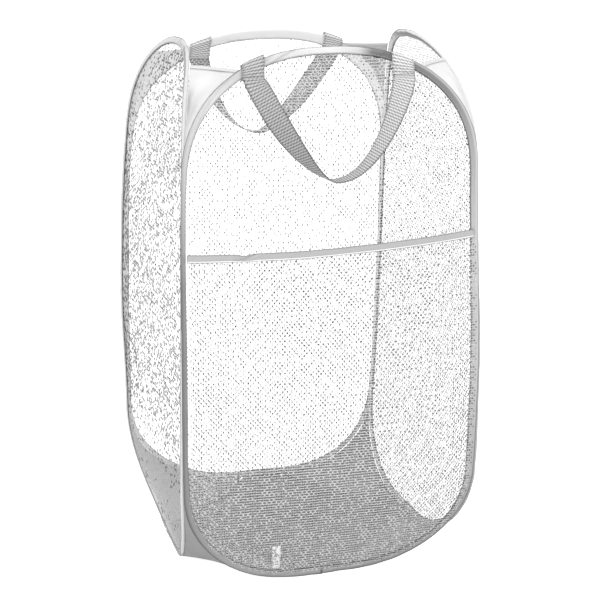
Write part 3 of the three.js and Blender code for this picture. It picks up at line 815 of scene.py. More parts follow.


# Painted light and shade of each panel's tape round its hoop, from the middle of the foot: (share of the
# way round, tone of its face, tone of its fold). The tones lighten or darken each stretch to stand for
# how light and shade fall on it, and a fold tone above the face's is a painted highlight along the fold
TAPE_LIGHT_AND_SHADE = {
    "front": (
        (0, 0.62, 0.42), (0.10, 0.62, 0.45), (0.20, 0.90, 1.05), (0.30, 1.02, 1.20),
        (0.37, 0.70, 1.30), (0.405, 0.42, 1.20), (0.446, 0.34, 1.00), (0.460, 0.30, 0.40),
        (0.471, 0.34, 0.60), (0.480, 1.2, 1.4), (0.50, 1.5, 1.55), (0.54, 1.3, 1.4), (0.56, 1.0, 1.1),
        (0.59, 1.35, 1.2), (0.64, 1.1, 0.8), (0.72, 0.50, 0.32), (0.86, 0.48, 0.32), (0.93, 0.62, 0.42),
        (1, 0.62, 0.42),
    ),
    "right": (
        (0, 0.8, 0.8), (0.12, 1.4, 1.4), (0.36, 1.5, 1.6), (0.55, 1.6, 1.7), (0.75, 1.0, 1.0),
        (1, 0.8, 0.8),
    ),
    "rear": (
        (0, 0.9, 0.9), (0.12, 1.35, 1.3), (0.40, 1.9, 1.9), (0.60, 1.9, 1.9), (0.88, 1.35, 1.3),
        (1, 0.9, 0.9),
    ),
    "left": (
        (0, 1.7, 1.4), (0.14, 1.35, 1.35), (0.4, 1.35, 1.4), (0.55, 1.4, 1.45), (0.7, 1.2, 1.2),
        (1, 1.7, 1.5),
    ),
}
# How square to the eye each panel's tape may turn before its outline of painted shade darkens
TAPE_SHADE_EDGES = {"front": 0.84, "right": 0.28, "rear": 0.55, "left": 0.22}
# Share of its reach that each panel's tape keeps, round from the middle of the foot
TAPE_REACHES = {
    "front": ((0, 1), (0.58, 1), (0.66, 0.5), (0.84, 0.5), (0.92, 1), (1, 1)),
    "rear": (
        (0, 1), (0.10, 0.55), (0.34, 0.55), (0.42, 1.7), (0.58, 1.7), (0.66, 0.55), (0.90, 0.55), (1, 1),
    ),
    "left": ((0, 1), (1, 1)),
    "right": ((0, 1), (1, 1)),
}
# Creases that cross the tape where it was turned, darkened with painted shade: (panel, share of the way
# round, length, tone)
TAPE_CREASE_SHADES = (
    ("front", 0.535, 0.020, 0.62), ("front", 0.548, 0.012, 0.70), ("front", 0.463, 0.010, 0.66),
    ("front", 0.958, 0.012, 0.80), ("front", 0.080, 0.030, 0.88), ("front", 0.600, 0.060, 0.80),
    ("left", 0.475, 0.030, 0.82), ("right", 0.52, 0.05, 0.84), ("rear", 0.46, 0.04, 0.82),
)


# Each leg of the folded tape, from its edge to its fold: (share of its reach, share of the jaw),
# where the jaw is how far the cloth's middle lies from the net's. Next to its fold it lies at
# least a share of the fold's radius off the net
TAPE_LEG_SHARES = ((1, 1), (0.97, 1.02), (0.8, 0.85), (0.55, 1.25), (0.3, 1.3))
TAPE_SHOULDER_SHARE = 0.8


def tape_sections(radii, reaches, jaw, steps=10):
    """Half-round fold over the wire and two legs that close on the net, one for each radius."""
    turns = np.linspace(RIGHT_ANGLE, 3 * RIGHT_ANGLE, steps + 1)
    sections = []
    for radius, reach in zip(radii, reaches):
        legs = [(reach * out, jaw * off) for out, off in TAPE_LEG_SHARES]
        legs[-1] = (legs[-1][0], max(legs[-1][1], radius * TAPE_SHOULDER_SHARE))
        fold = [(radius * math.cos(a), radius * math.sin(a)) for a in turns]
        sections.append(legs + fold + [(v, -n) for v, n in reversed(legs)])
    return np.array(sections)


# As shares of a tape's reach: where its face's tone takes over from its fold's, where the dark band of
# painted shade along its inner edge starts, and a crease's middle. As shares of a crease's length: its
# slant and half its width
FACE_START_SHARE, FACE_BLEND_SHARE = -0.12, 0.35
SHADED_EDGE_SHARE, SHADED_EDGE_TONE = 0.95, 0.42
CREASE_MIDDLE_SHARE, CREASE_SLANT_SHARE, CREASE_WIDTH_SHARE = 0.4, 0.9, 0.22


def tape_light_and_shade(name, shares, section, reaches):
    """Painted light and shade of a tape: tones of its face and its fold, a painted shade outline along
    its inner edge, and painted shade in the creases across it.
    """
    knots = np.array(TAPE_LIGHT_AND_SHADE[name])
    face, fold = (np.interp(shares, knots[:, 0], knots[:, k])[:, None] for k in (1, 2))
    reach = reaches[:, None]
    over = np.clip((section[:, :, 0] - reach * FACE_START_SHARE) / (reach * FACE_BLEND_SHARE), 0, 1)
    tones = fold + (face - fold) * over
    tones *= np.where(section[:, :, 0] > reach * SHADED_EDGE_SHARE, SHADED_EDGE_TONE, 1.0)
    across = np.clip(section[:, :, 0] / reach, -0.2, 1)
    for panel, share, length, tone in TAPE_CREASE_SHADES:
        if panel == name:
            middle = share + (across - CREASE_MIDDLE_SHARE) * length * CREASE_SLANT_SHARE
            off = np.abs(shares[:, None] - middle) / (length * CREASE_WIDTH_SHARE)
            tones *= 1 - (1 - tone) * (1 - np.clip(off, 0, 1))
    return tones.ravel()


# Tape: rows of points round its hoop, where it starts beside the middle of the foot, half the
# gap that its legs leave, how far it stays wide over the crimped sleeve and then narrows, its
# puckers and its slack (size, depth), how far its lapped end rises as a share of its thickness,
# its seam's place as a share of its reach, and how far out the thread lies as a share of its own
TAPE_ROWS, TAPE_START, TAPE_GAP = 380, 0.032, 0.0006
SLEEVE_COVER, SLEEVE_NARROWING = 0.016, 0.006
PUCKERS, SLACK = (0.011, 0.00020), (0.044, 0.00030)
LAP_LIFT_SHARE, SEAM_SHARE, THREAD_SINK_SHARE = 1.25, 0.8, 0.3
TAPE_SEED, SLACK_SEED = 1, 50


def build_binding(name):
    """Tape folded over one hoop, its end lapped over its start, with a seam on each face."""
    sizes = bpy.context.scene.hamper_sizes
    count, thick = TAPE_ROWS, sizes.tape_thickness
    line = hoop_line(PANELS[name]["half"], count)
    step = np.linalg.norm(line[1] - line[0])
    lap_steps = max(2, round(sizes.tape_lap / step))
    order = (np.arange(count + lap_steps + 1) - round(TAPE_START / step)) % count
    local, normal, across = (a[order] for a in panel_frames(line))
    from_foot = np.minimum(order, count - order) * step
    sleeve = np.clip((SLEEVE_COVER - from_foot) / SLEEVE_NARROWING, 0, 1)
    radii = WRAP_RADIUS + (SLEEVE_RADIUS - WRAP_RADIUS) * sleeve * sleeve * (3 - 2 * sleeve)
    reaches = sizes.tape_reach * np.interp(order / count, *np.array(TAPE_REACHES[name]).T)
    section = tape_sections(radii, reaches, TAPE_GAP + thick / 2)
    grid = swept_grid(local, across, normal, section)
    away = grid - local[:, None]
    away /= np.linalg.norm(away, axis=2)[:, :, None]
    lapped = np.clip((np.arange(len(order)) - (count - lap_steps)) / lap_steps, 0, 1)
    lift = lapped * thick * LAP_LIFT_SHARE
    seed = list(PANELS).index(name) + TAPE_SEED
    uneven = 0
    for (size, depth), more in ((PUCKERS, 0), (SLACK, SLACK_SEED)):
        uneven = uneven + ripple(grid.reshape(-1, 3), size, seed + more).reshape(grid.shape[:2]) * depth
    loose = 1 - np.clip(np.abs(section[:, :, 0]) / reaches[:, None], 0, 1) * 0.5
    grid = grid + away * (lift[:, None] + uneven * loose)[:, :, None]
    made = cloth_object(f"{name}_binding_tape", place(name, grid), material("folded_tape"), thick)
    set_tone(made, tape_light_and_shade(name, order / count, section, reaches))
    set_tone(made, np.full(grid.shape[0] * grid.shape[1], TAPE_SHADE_EDGES[name]), "edge")
    body = PANELS[name]["body"]
    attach(made, body)
    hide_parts(f"{name}_binding")
    seam = reaches[:, None] * SEAM_SHARE
    off = TAPE_GAP + thick + sizes.thread_thickness * THREAD_SINK_SHARE
    rows = [place(name, (local + across * seam + normal * (side * off))[:-2]) for side in (-1, 1)]
    stitches = stitch_rows(f"{name}_binding_stitches", rows, body)


# Nets

# How far a net's middle stands out, how far its outer holes lie in from the wire, the sizes and
# the reach of the waves that its loops drift in, and its seeds
NET_BILLOW = 0.003
NET_INSET = 0.0036
DRIFT_WAVES = (0.070, 0.041, 0.026, 0.017, 0.012)
DRIFT_REACH = 0.0004
NET_SEED, POCKET_SEED = 70, 75


def billow(half, u, z):
    """How far a panel's net stands out at a point, none at its edge."""
    share = np.clip(z / WIRE_HIGH, 0, 1)
    return -NET_BILLOW * np.clip(1 - (u / half) ** 2, 0, 1) * np.sin(math.pi * share)


def in_hoop(half, u, z, inset):
    """Whether panel points lie inside the hoop's line set in by a distance."""
    wide = half - inset
    up = np.clip((z - LEAN_START) / (TOP_RISE - inset), 0, None)
    down = np.clip((FOOT_END - z) / (FOOT_RISE - inset), 0, None)
    side = np.abs(u)
    top = (side / wide) ** ROUNDNESS + up ** ROUNDNESS < 1
    beyond = np.clip((side - FOOT_RUN) / (wide - FOOT_RUN), 0, None)
    foot = beyond ** ROUNDNESS + down ** ROUNDNESS < 1
    return top & foot


def net_points(half, inset, low, top, sizes):
    """Centres of the net's holes in staggered rows inside the hoop, up to a top line."""
    rows = np.arange(low, WIRE_HIGH, sizes.net_row)
    columns = np.arange(-half, half, sizes.net_pitch)
    z, u = np.meshgrid(rows, columns, indexing="ij")
    u = u + (np.arange(len(rows)) % 2)[:, None] * (sizes.net_pitch / 2)
    keep = in_hoop(half, u, z, inset) & (z < top(u))
    return np.stack([u[keep], z[keep], np.zeros(keep.sum())], 1)


def drift(u, z, seed):
    """Small in-plane drift of a net's loops, a sum of slow waves."""
    chance = np.random.default_rng(seed)
    moves = []
    for _ in range(2):
        total = 0
        for size in DRIFT_WAVES:
            turn, phase = chance.uniform(0, math.tau, 2)
            total = total + np.sin((u * math.cos(turn) + z * math.sin(turn)) * math.tau / size + phase)
        moves.append(total * DRIFT_REACH / len(DRIFT_WAVES))
    return moves


def lay_net(mesh, surface, panel, seed):
    """Lays a flat mesh on a surface that gives how far into the hamper each point lies."""
    flat = np.zeros(len(mesh.vertices) * 3, np.float32)
    mesh.vertices.foreach_get("co", flat)
    u, z, relief = flat.reshape(-1, 3).astype(float).T
    slide_u, slide_z = drift(u, z, seed)
    world = place(panel, np.stack([u + slide_u, surface(u, z) - relief, z + slide_z], 1))
    mesh.vertices.foreach_set("co", world.astype(np.float32).ravel())
    mesh.update()
    made = add_object(mesh.name, mesh)
    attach(made, PANELS[panel]["body"])
    return made


# Knots of each net, near-black beads of painted shade that stand for the shading seen in its holes:
# (share of its holes that have one low down, high up, width, and height as a factor of the knot height)
NET_SHADE_DOTS = {
    "front": (0.55, 0.48, 0.0015, 1.0), "right": (0.80, 0.72, 0.0038, 1.3),
    "rear": (0.30, 0.10, 0.0014, 1.0), "left": (0.46, 0.46, 0.0046, 1.8),
    "pocket": (0.62, 0.50, 0.0016, 1.0),
}


# Heights between which a net's share of knots of painted shade goes from low to high. The left net has
# fewer knots in its crown towards the rear, and almost none at its foot
SHADE_DOT_HEIGHTS = (0.15, 0.45)
SHADE_DOT_DEPTH = 0.0009
LEFT_CROWN_HEIGHTS, LEFT_CROWN_ALONG = (LEAN_START - 0.04, LEAN_START + 0.05), (-0.08, 0.02)
LEFT_CROWN_LOSS_SHARE = 0.7
LEFT_FOOT_HEIGHTS, LEFT_FOOT_SHARES = (0.10, 0.18), (0.04, 1.0)


def shade_dot_share(net, u, z):
    """Share of a net's holes that have a knot of painted shade, at panel points."""
    share = np.interp(z, SHADE_DOT_HEIGHTS, NET_SHADE_DOTS[net][:2])
    if net == "left":
        upward = np.interp(z, LEFT_CROWN_HEIGHTS, (0, 1))
        share *= 1 - LEFT_CROWN_LOSS_SHARE * upward * np.interp(u, LEFT_CROWN_ALONG, (1, 0))
        share *= np.interp(z, LEFT_FOOT_HEIGHTS, LEFT_FOOT_SHARES)
    return share


def net_object(net, points, sizes, surface, panel, seed):
    """A net on hole centres and its knots of painted shade, and the net's flat size and area."""
    name = f"{net}_net"
    mesh = run_tree(name, tree_named("Knitted net", net_tree), points, [], {
        "Pitch": sizes.net_pitch, "Row": sizes.net_row, "Hole": sizes.net_hole,
        "Relief": sizes.net_relief, "Material": material("knitted_net"),
    })
    area = sum(p.area for p in mesh.polygons)
    width, length = (float(np.ptp(points[:, axis])) for axis in (0, 1))
    wide, tall = NET_SHADE_DOTS[net][2:]
    share = shade_dot_share(net, points[:, 0], points[:, 1])
    chosen = np.random.default_rng(seed).uniform(size=len(points)) < share
    beside = points[chosen] + [sizes.net_pitch / 2, 0, 0]
    knots = run_tree(f"{name}_knots", tree_named("Net knots", shade_dot_tree), beside, [], {
        "Width": wide, "Height": sizes.shade_dot_height * tall, "Depth": SHADE_DOT_DEPTH,
        "Material": material("net_shade_dots"),
    })
    made, beads = (lay_net(part, surface, panel, seed) for part in (mesh, knots))
    return made, beads, (width, length), max(area, LEAST_AREA_SHARE * width * length)


def build_net(name):
    """The knitted net of one panel, stretched in its hoop."""
    sizes = bpy.context.scene.hamper_sizes
    half = PANELS[name]["half"]
    points = net_points(half, NET_INSET, WIRE_LOW, lambda u: WIRE_HIGH, sizes)
    made, beads, size, area = net_object(
        name, points, sizes, lambda u, z: lean(z) + billow(half, u, z), name,
        list(PANELS).index(name) + NET_SEED)
    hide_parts(f"{name}_mesh")


# Pocket and label

# The pocket's cloth: how far it bellies out, lies off the panel's net and waves (depth, waves
# in a metre as an angle, start), its net's edges as shares of the tape's reach, and how far the
# net goes up into the hem and is moved along the panel's own, as a share of the pitch
POCKET_BELLY = 0.0062
POCKET_SEAT = 0.0016
POCKET_WAVE = (0.0011, 38, 0.6)
POCKET_SIDE_SHARE, POCKET_FOOT_SHARE, POCKET_NET_MOVE_SHARE = 0.62, 0.7, 0.31
POCKET_INTO_HEM = 0.003


def pocket_side(z):
    """Half width of the pocket at a height."""
    bend = (1 - np.clip(foot_share(z), 0, 1) ** ROUNDNESS) ** (1 / ROUNDNESS)
    return FOOT_RUN + (HALF_FRONT - FOOT_RUN) * bend


def pocket_face(u, z):
    """How far in the pocket's cloth lies: it bellies out towards its open top."""
    share = np.clip(np.abs(u) / pocket_side(z), 0, 1)
    up = np.clip(z / POCKET_TOP, 0, 1.05)
    depth, turns, start = POCKET_WAVE
    waves = depth * np.sin(u * turns + start) * up ** 3 * (1 - share ** 2)
    return lean(z) + billow(HALF_FRONT, u, z) - POCKET_SEAT - POCKET_BELLY * (1 - share ** 2) * up + waves


# Hem of the pocket: its height over and under its line, how the line rises, sags and slants,
# the spot where the band is twisted, and how much it stands off and tilts
HEM_RISE, HEM_LIP = 0.0060, 0.0026
HEM_LIFT, HEM_SAG, HEM_SLANT = 0.0062, 0.0018, 0.0064
HEM_TWIST, HEM_TWIST_REACH, HEM_TWIST_TILT = -0.100, 0.014, 0.5
HEM_OFF, HEM_WAVE, HEM_WAVE_SIZE, HEM_WAVE_SEED = 0.0004, 0.0009, 0.05, 9
HEM_WAVE_LIMITS = (-0.0003, 0.001)
HEM_TILT, HEM_TILT_SIZE, HEM_TILT_SEED = 0.16, 0.045, 11
HEM_BAND, HEM_CLOTH, HEM_POINTS = 0.0014, 0.0004, 190
HEM_SEAM_UP, HEM_SEAM_OUT = 0.0031, 0.0010
# Heights of the hem band's points as shares of its height, and its tones up it, which are painted light
# and shade: a painted shadow along its lower edge and a painted highlight line above it: (share, tone)
HEM_MARKS = (0.04, 0.10, 0.20, 0.235, 0.27, 0.40, 0.52, 0.64, 0.76, 0.88)
HEM_LIGHT_AND_SHADE = (
    (0, 0.35), (0.05, 0.4), (0.09, 1.7), (0.20, 1.7), (0.25, 0.68), (0.32, 0.90), (0.90, 0.88), (1, 0.6),
)
# How square to the eye the hem band may turn before its outline of painted shade darkens
HEM_SHADE_EDGE = 0.3
# Painted shade and painted highlight of the twist: its dark streak and the light one beside it: (place up
# the band, half width, strength)
HEM_SHADE_STREAKS = ((0.62, 0.12, -0.28), (0.32, 0.2, 0.16))
HEM_STREAK_FOOT_SHARE = 0.25


def hem_line(u):
    """Height of the hem's lower edge: a slanting line that sags a little."""
    share = np.clip(u / HALF_FRONT, -1, 1)
    return POCKET_TOP - HEM_LIP + HEM_LIFT + HEM_SLANT * share - HEM_SAG * (1 - share ** 2)


def band_grid(path, up, out, height, thickness, steps=5, marks=(0.45,)):
    """Folded band: up its outside, over its edge and down its inside, along a path."""
    half = thickness / 2
    rise = [(0, half)] + [(height * mark, half * 1.2) for mark in marks]
    fold = [(height - half + half * math.sin(a), half * math.cos(a))
            for a in np.linspace(0, math.pi, steps + 1)]
    section = np.array(rise + fold + [(v, -n) for v, n in reversed(rise)])
    return swept_grid(path, up, out, section)


def hem_light_and_shade(u):
    """Painted light and shade of the hem band at places along it, with the painted shade and highlight
    streaks of its twist.
    """
    levels = np.concatenate([[0], HEM_MARKS, np.ones(6), HEM_MARKS[::-1], [0]])
    tones = np.tile(np.interp(levels, *np.array(HEM_LIGHT_AND_SHADE).T), (len(u), 1))
    along = (u[:, None] - HEM_TWIST) / (HEM_TWIST_REACH * 2)
    for middle, half, strength in HEM_SHADE_STREAKS:
        near = 1 - np.clip(np.abs(levels[None] - (along + middle)) / half, 0, 1)
        tones *= 1 + strength * near * (levels[None] > HEM_STREAK_FOOT_SHARE)
    return tones.ravel()


def build_pocket():
    """Net of the side pocket, and the tape folded over its open top."""
    sizes = bpy.context.scene.hamper_sizes
    inset = sizes.tape_reach * POCKET_SIDE_SHARE
    points = net_points(HALF_FRONT, inset, WIRE_LOW + sizes.tape_reach * POCKET_FOOT_SHARE,
                        lambda u: hem_line(u) + POCKET_INTO_HEM, sizes)
    points[:, 0] += sizes.net_pitch * POCKET_NET_MOVE_SHARE
    made, beads, size, area = net_object("pocket", points, sizes, pocket_face, "front", POCKET_SEED)
    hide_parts("pocket_mesh")
    u = np.linspace(inset - HALF_FRONT, HALF_FRONT - inset, HEM_POINTS)
    line = np.stack([u, pocket_face(u, np.full_like(u, POCKET_TOP)), hem_line(u)], 1)
    wave = ripple(line, HEM_WAVE_SIZE, HEM_WAVE_SEED) * HEM_WAVE
    line[:, 1] -= HEM_OFF + np.clip(wave, *HEM_WAVE_LIMITS)
    near = 1 - np.clip(np.abs(u - HEM_TWIST) / HEM_TWIST_REACH, 0, 1)
    tilt = ripple(line + [0, 0, 1], HEM_TILT_SIZE, HEM_TILT_SEED) * HEM_TILT + near * HEM_TWIST_TILT
    up = np.stack([np.zeros_like(u), -np.sin(tilt), np.cos(tilt)], 1)
    out = np.stack([np.zeros_like(u), -np.cos(tilt), -np.sin(tilt)], 1)
    grid = band_grid(line, up, out, HEM_RISE + HEM_LIP, HEM_BAND, marks=HEM_MARKS)
    hem = cloth_object("pocket_hem_band", place("front", grid), material("folded_tape"), HEM_CLOTH)
    tones = hem_light_and_shade(u)
    set_tone(hem, np.full(tones.size, HEM_SHADE_EDGE), "edge")
    set_tone(hem, tones)
    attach(hem, "front_side")
    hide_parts("pocket_hem")
    rows = [place("front", line + up * HEM_SEAM_UP + out * HEM_SEAM_OUT)]
    stitches = stitch_rows("pocket_hem_stitches", rows, "front_side")


# Label: how much wider than its box it is sewn, its ends' places over the box's, how far it
# stands off the pocket and curls, and its side's wave
LABEL_ROWS, LABEL_COLUMNS, LABEL_CLOTH = 14, 6, 0.0004
LABEL_WIDER, LABEL_FOOT_UP, LABEL_TOP_UP = 0.0011, 0.003, 0.008
LABEL_OFF, LABEL_CURL, LABEL_CURL_TURN, LABEL_WAVE = 0.0016, 0.0012, 2.6, 0.0004


def build_label():
    """Blank label sewn in at the pocket's side."""
    low, high = LABEL_BOX
    middle, width = (low.x + high.x) / 2, high.x - low.x + LABEL_WIDER
    grid = np.zeros((LABEL_ROWS, LABEL_COLUMNS, 3))
    for i, height in enumerate(np.linspace(low.z + LABEL_FOOT_UP, high.z + LABEL_TOP_UP, LABEL_ROWS)):
        u = middle + np.linspace(-0.5, 0.5, LABEL_COLUMNS) * width + LABEL_WAVE * math.sin(i)
        z = np.full(LABEL_COLUMNS, height)
        curl = LABEL_CURL * math.sin(i / LABEL_ROWS * LABEL_CURL_TURN)
        grid[i] = np.stack([u, pocket_face(u, z) - LABEL_OFF - curl, z], 1)
    made = cloth_object("blank_sewn_label", place("front", grid), material("label_satin"), LABEL_CLOTH)
    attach(made, "front_side")
    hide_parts("blank_label")


# Gussets and base

# How far from its corner a top gusset's cloth and its hem's top reach along the panels, how far the cloth
# sags as a share of its width, and its hem's height
CLOTH_REACH, HEM_REACH = 0.058, 0.066
GUSSET_SAG = 0.07
GUSSET_HEM = 0.006
# How much a row stops short of each hoop, and the most as a share of its length
GUSSET_TRIM, GUSSET_TRIM_LIMIT_SHARE = FOLD_RADIUS * 1.25, 0.45
GUSSET_COLUMNS, GUSSET_HEM_COLUMNS = 31, 61
# Top and low gusset: the angle of the hoops' arcs where it leaves their sides, its rows, and its
# creases' depth and size
TOP_ANGLE, TOP_ROWS, TOP_CREASE, TOP_CREASE_SIZE = 0.06, 44, 0.0030, 0.030
LOW_ANGLE, LOW_ROWS, LOW_CREASE, LOW_CREASE_SIZE = 0.05, 30, 0.0012, 0.035
# Thickness of the cloth, of the hem's cloth and of its folded band, and its start over the row
GUSSET_CLOTH, GUSSET_HEM_CLOTH, GUSSET_HEM_BAND, GUSSET_HEM_UP = 0.0005, 0.0004, 0.0012, 0.0004
# How far the low gusset's foot lies over the base, and how far its creases may sink it
LOW_OVER_BASE, LEAST_OVER_BASE = 0.0010, 0.0004
GUSSET_SEED, LOW_SEED, FINE_SEED = 30, 5, 20
HEM_BAND_TONE, LOW_TONE = 1.12, 1.3


def gusset_ends(first, second, arc, angle):
    """Where a gusset's row leaves one panel's hoop and where it meets the next one's."""
    ends = []
    for name, side in ((first, 1), (second, -1)):
        u, z = arc(PANELS[name]["half"], angle)
        ends.append(square_place(name, [[side * u, float(lean(z)), z]])[0])
    return np.array(ends)


def gusset_row(first, second, arc, angle, columns, drop=0.0):
    """A gusset's points from one hoop to the next at an angle of their arcs, sagging inwards."""
    start, end = gusset_ends(first, second, arc, angle)
    chord = end - start
    length = np.linalg.norm(chord)
    over = chord / length
    inward = np.array([-over[1], over[0], 0])
    cut = min(GUSSET_TRIM, length * GUSSET_TRIM_LIMIT_SHARE)
    share = np.linspace(0, 1, columns)
    at = cut + share * (length - 2 * cut)
    bend = GUSSET_SAG * length * 4 * share * (1 - share)
    return start + over * at[:, None] + inward * bend[:, None] - np.array([0, 0, drop])


# Painted light and shade of each top gusset: its base tone, lighter or darker as its corner is lit, and
# its soft patches of painted satin highlight and painted fold shade: (height share, share across, reach,
# tone)
GUSSET_LIGHT_AND_SHADE = {
    "front_left": (1.16, (
        (0.62, 0.06, 0.12, 0.66), (0.48, 0.10, 0.16, 0.70), (0.52, 0.56, 0.20, 0.80),
        (0.25, 0.40, 0.25, 0.84), (0.80, 0.45, 0.20, 1.12),
    )),
    "front_right": (1.20, ((0.62, 0.82, 0.14, 0.90), (0.40, 0.70, 0.16, 0.92), (0.75, 0.3, 0.3, 1.06))),
    "rear_left": (1.30, ((0.70, 0.30, 0.25, 1.08), (0.40, 0.60, 0.25, 0.88))),
    "rear_right": (0.90, ((0.75, 0.50, 0.30, 0.76), (0.40, 0.50, 0.25, 1.10), (0.92, 0.20, 0.2, 1.12))),
}
PATCH_WIDTH_SHARE = 1.4


def gusset_light_and_shade(corner, rows, columns):
    """Painted light and shade of a top gusset, with its soft patches."""
    base, patches = GUSSET_LIGHT_AND_SHADE[corner]
    up, over = np.meshgrid(np.linspace(0, 1, rows), np.linspace(0, 1, columns), indexing="ij")
    tones = np.full((rows, columns), base)
    for high, side, reach, tone in patches:
        near = np.exp(-(((up - high) / reach) ** 2 + ((over - side) / (reach * PATCH_WIDTH_SHARE)) ** 2))
        tones *= 1 - (1 - tone) * near
    return tones.ravel()


# Creases: how their two sizes are stretched, and the small ones' size and depth as a share of
# the large ones'
CREASE_STRETCH, FINE_STRETCH = (1, 1, 0.45), (0.5, 0.5, 1.6)
FINE_SHARE = 0.4


def creased(grid, seed, amount, size):
    """A cloth's grid with soft creases across it, none at its sewn edges."""
    rows, columns, _ = grid.shape
    over = grid[:, -1] - grid[:, 0]
    normal = np.cross(over / np.linalg.norm(over, axis=1)[:, None], [0, 0, 1])
    edge = np.sin(math.pi * np.linspace(0, 1, columns)) ** 0.7
    flat = grid.reshape(-1, 3)
    depth = ripple(flat * CREASE_STRETCH, size, seed)
    fine = ripple(flat * FINE_STRETCH, size * FINE_SHARE, seed + FINE_SEED)
    moved = (depth + fine * FINE_SHARE).reshape(rows, columns) * edge[None] * amount
    return grid + normal[:, None] * moved[:, :, None]


def corner_cloth(corner, name, grid, over, look, node):
    """Pieces of a corner's cloth: one piece fixed where it lies, or two at the open corner, each parented
    to its own panel.

    over is the grid's direction that runs across the corner; look is the cloth's material,
    thickness and tones."""
    finish, thickness, tones = look
    tones = np.broadcast_to(tones, grid.shape[0] * grid.shape[1]).reshape(grid.shape[:2])
    world = settle(grid).reshape(grid.shape)
    if corner in CORNER_BODIES:
        pick = [(name, slice(None))]
    else:
        middle = grid.shape[over] // 2
        pick = [(f"{name}_first_half", slice(0, middle + 1)),
                (f"{name}_second_half", slice(middle, None))]
    made = []
    for k, (label, part) in enumerate(pick):
        cut = (part, slice(None)) if over == 0 else (slice(None), part)
        piece = cloth_object(f"{corner}_{label}", world[cut], material(finish), thickness)
        set_tone(piece, tones[cut].ravel())
        if corner in CORNER_BODIES:
            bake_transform(piece)
        else:
            body, normal = (("right_side", (1, 0, 0)), ("rear_side", (0, 1, 0)))[k]
            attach(piece, body)
            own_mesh(piece)
        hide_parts(f"{corner}_{node}")
        made.append((piece, grid[cut]))
    return made


def build_gusset(corner):
    """Top gusset with its folded hem, and the low gusset that closes down to the base."""
    first, second = CORNERS[corner]
    seed = list(CORNERS).index(corner) + GUSSET_SEED
    cloth_angle, hem_angle = (arc_angle(1 - reach / HALF_FRONT) for reach in (CLOTH_REACH, HEM_REACH))
    rows = [gusset_row(first, second, top_arc, a, GUSSET_COLUMNS)
            for a in np.linspace(TOP_ANGLE, cloth_angle, TOP_ROWS)]
    grid = creased(np.array(rows), seed, TOP_CREASE, TOP_CREASE_SIZE)
    look = ("gusset_satin", GUSSET_CLOTH, gusset_light_and_shade(corner, TOP_ROWS, GUSSET_COLUMNS))
    tops = corner_cloth(corner, "top_gusset_cloth", grid, 1, look, "top_gusset")

    low_row, high_row = (gusset_row(first, second, top_arc, angle, GUSSET_HEM_COLUMNS)
                         for angle in (cloth_angle, hem_angle))
    up = high_row - low_row
    up /= np.linalg.norm(up, axis=1)[:, None]
    out = np.cross(np.gradient(low_row, axis=0), up)
    out /= np.linalg.norm(out, axis=1)[:, None]
    hem = band_grid(low_row + up * GUSSET_HEM_UP, up, out, GUSSET_HEM, GUSSET_HEM_BAND)
    look = ("gusset_satin", GUSSET_HEM_CLOTH, HEM_BAND_TONE)
    hems = corner_cloth(corner, "gusset_hem_band", hem, 0, look, "gusset_hem")

    drop = WIRE_LOW - BASE_TOP - LOW_OVER_BASE
    rows = [gusset_row(first, second, foot_arc, a, GUSSET_COLUMNS, drop)
            for a in np.linspace(RIGHT_ANGLE, LOW_ANGLE, LOW_ROWS)]
    low = creased(np.array(rows), seed + LOW_SEED, LOW_CREASE, LOW_CREASE_SIZE)
    low[:, :, 2] = np.maximum(low[:, :, 2], BASE_TOP + LEAST_OVER_BASE)
    look = ("base_weave", GUSSET_CLOTH, LOW_TONE)
    lows = corner_cloth(corner, "low_gusset_cloth", low, 1, look, "low_gusset")


# The base is four halves in two layers, each laid from the fold's long diagonal to one panel's
# foot: side of the diagonal, squash axis, where the panel stands, and the half's level
BASE_HALVES = {
    "front": (1, (0, 1, 0), (0, -PLANE_Y, 0), 0.0015),
    "left": (-1, (1, 0, 0), (-PLANE_X, 0, 0), 0.0010),
    "rear": (-1, (0, 1, 0), (0, PLANE_Y, 0), 0.0000),
    "right": (1, (1, 0, 0), (PLANE_X, 0, 0), 0.0005),
}
# Share of its width that a half keeps at the fold's limit, its gap to the hoops and its thickness
BASE_KEEP, BASE_GAP, BASE_CLOTH = 0.43, 0.0022, 0.0003
# Rumples of the base cloth (size, depth, limits, seed) and its tones (size, depth, seed)
RUMPLE_SIZE, RUMPLE_DEPTH, RUMPLE_LIMITS, RUMPLE_SEED = 0.05, 0.0003, (-0.0002, 0.0003), 61
BASE_TONE_SIZE, BASE_TONE_DEPTH, BASE_TONE_SEED = 0.09, 0.05, 63


def base_grid(side, reach_x, reach_y, steps=60):
    """Flat half of the eight-sided base, on one side of the diagonal x = y."""
    root = math.sqrt(0.5)
    half = (reach_x + FOOT_RUN) * root
    back, ahead = (reach_y, reach_x) if side > 0 else (reach_x, reach_y)
    rows = []
    for off in np.linspace(0, half, steps // 2):
        along = np.linspace(max(-half, off - back / root), min(half, ahead / root - off), steps)
        x, y = (along + side * off) * root, (along - side * off) * root
        rows.append(np.stack([x, y, np.zeros(steps)], 1))
    return np.array(rows if side < 0 else rows[::-1])


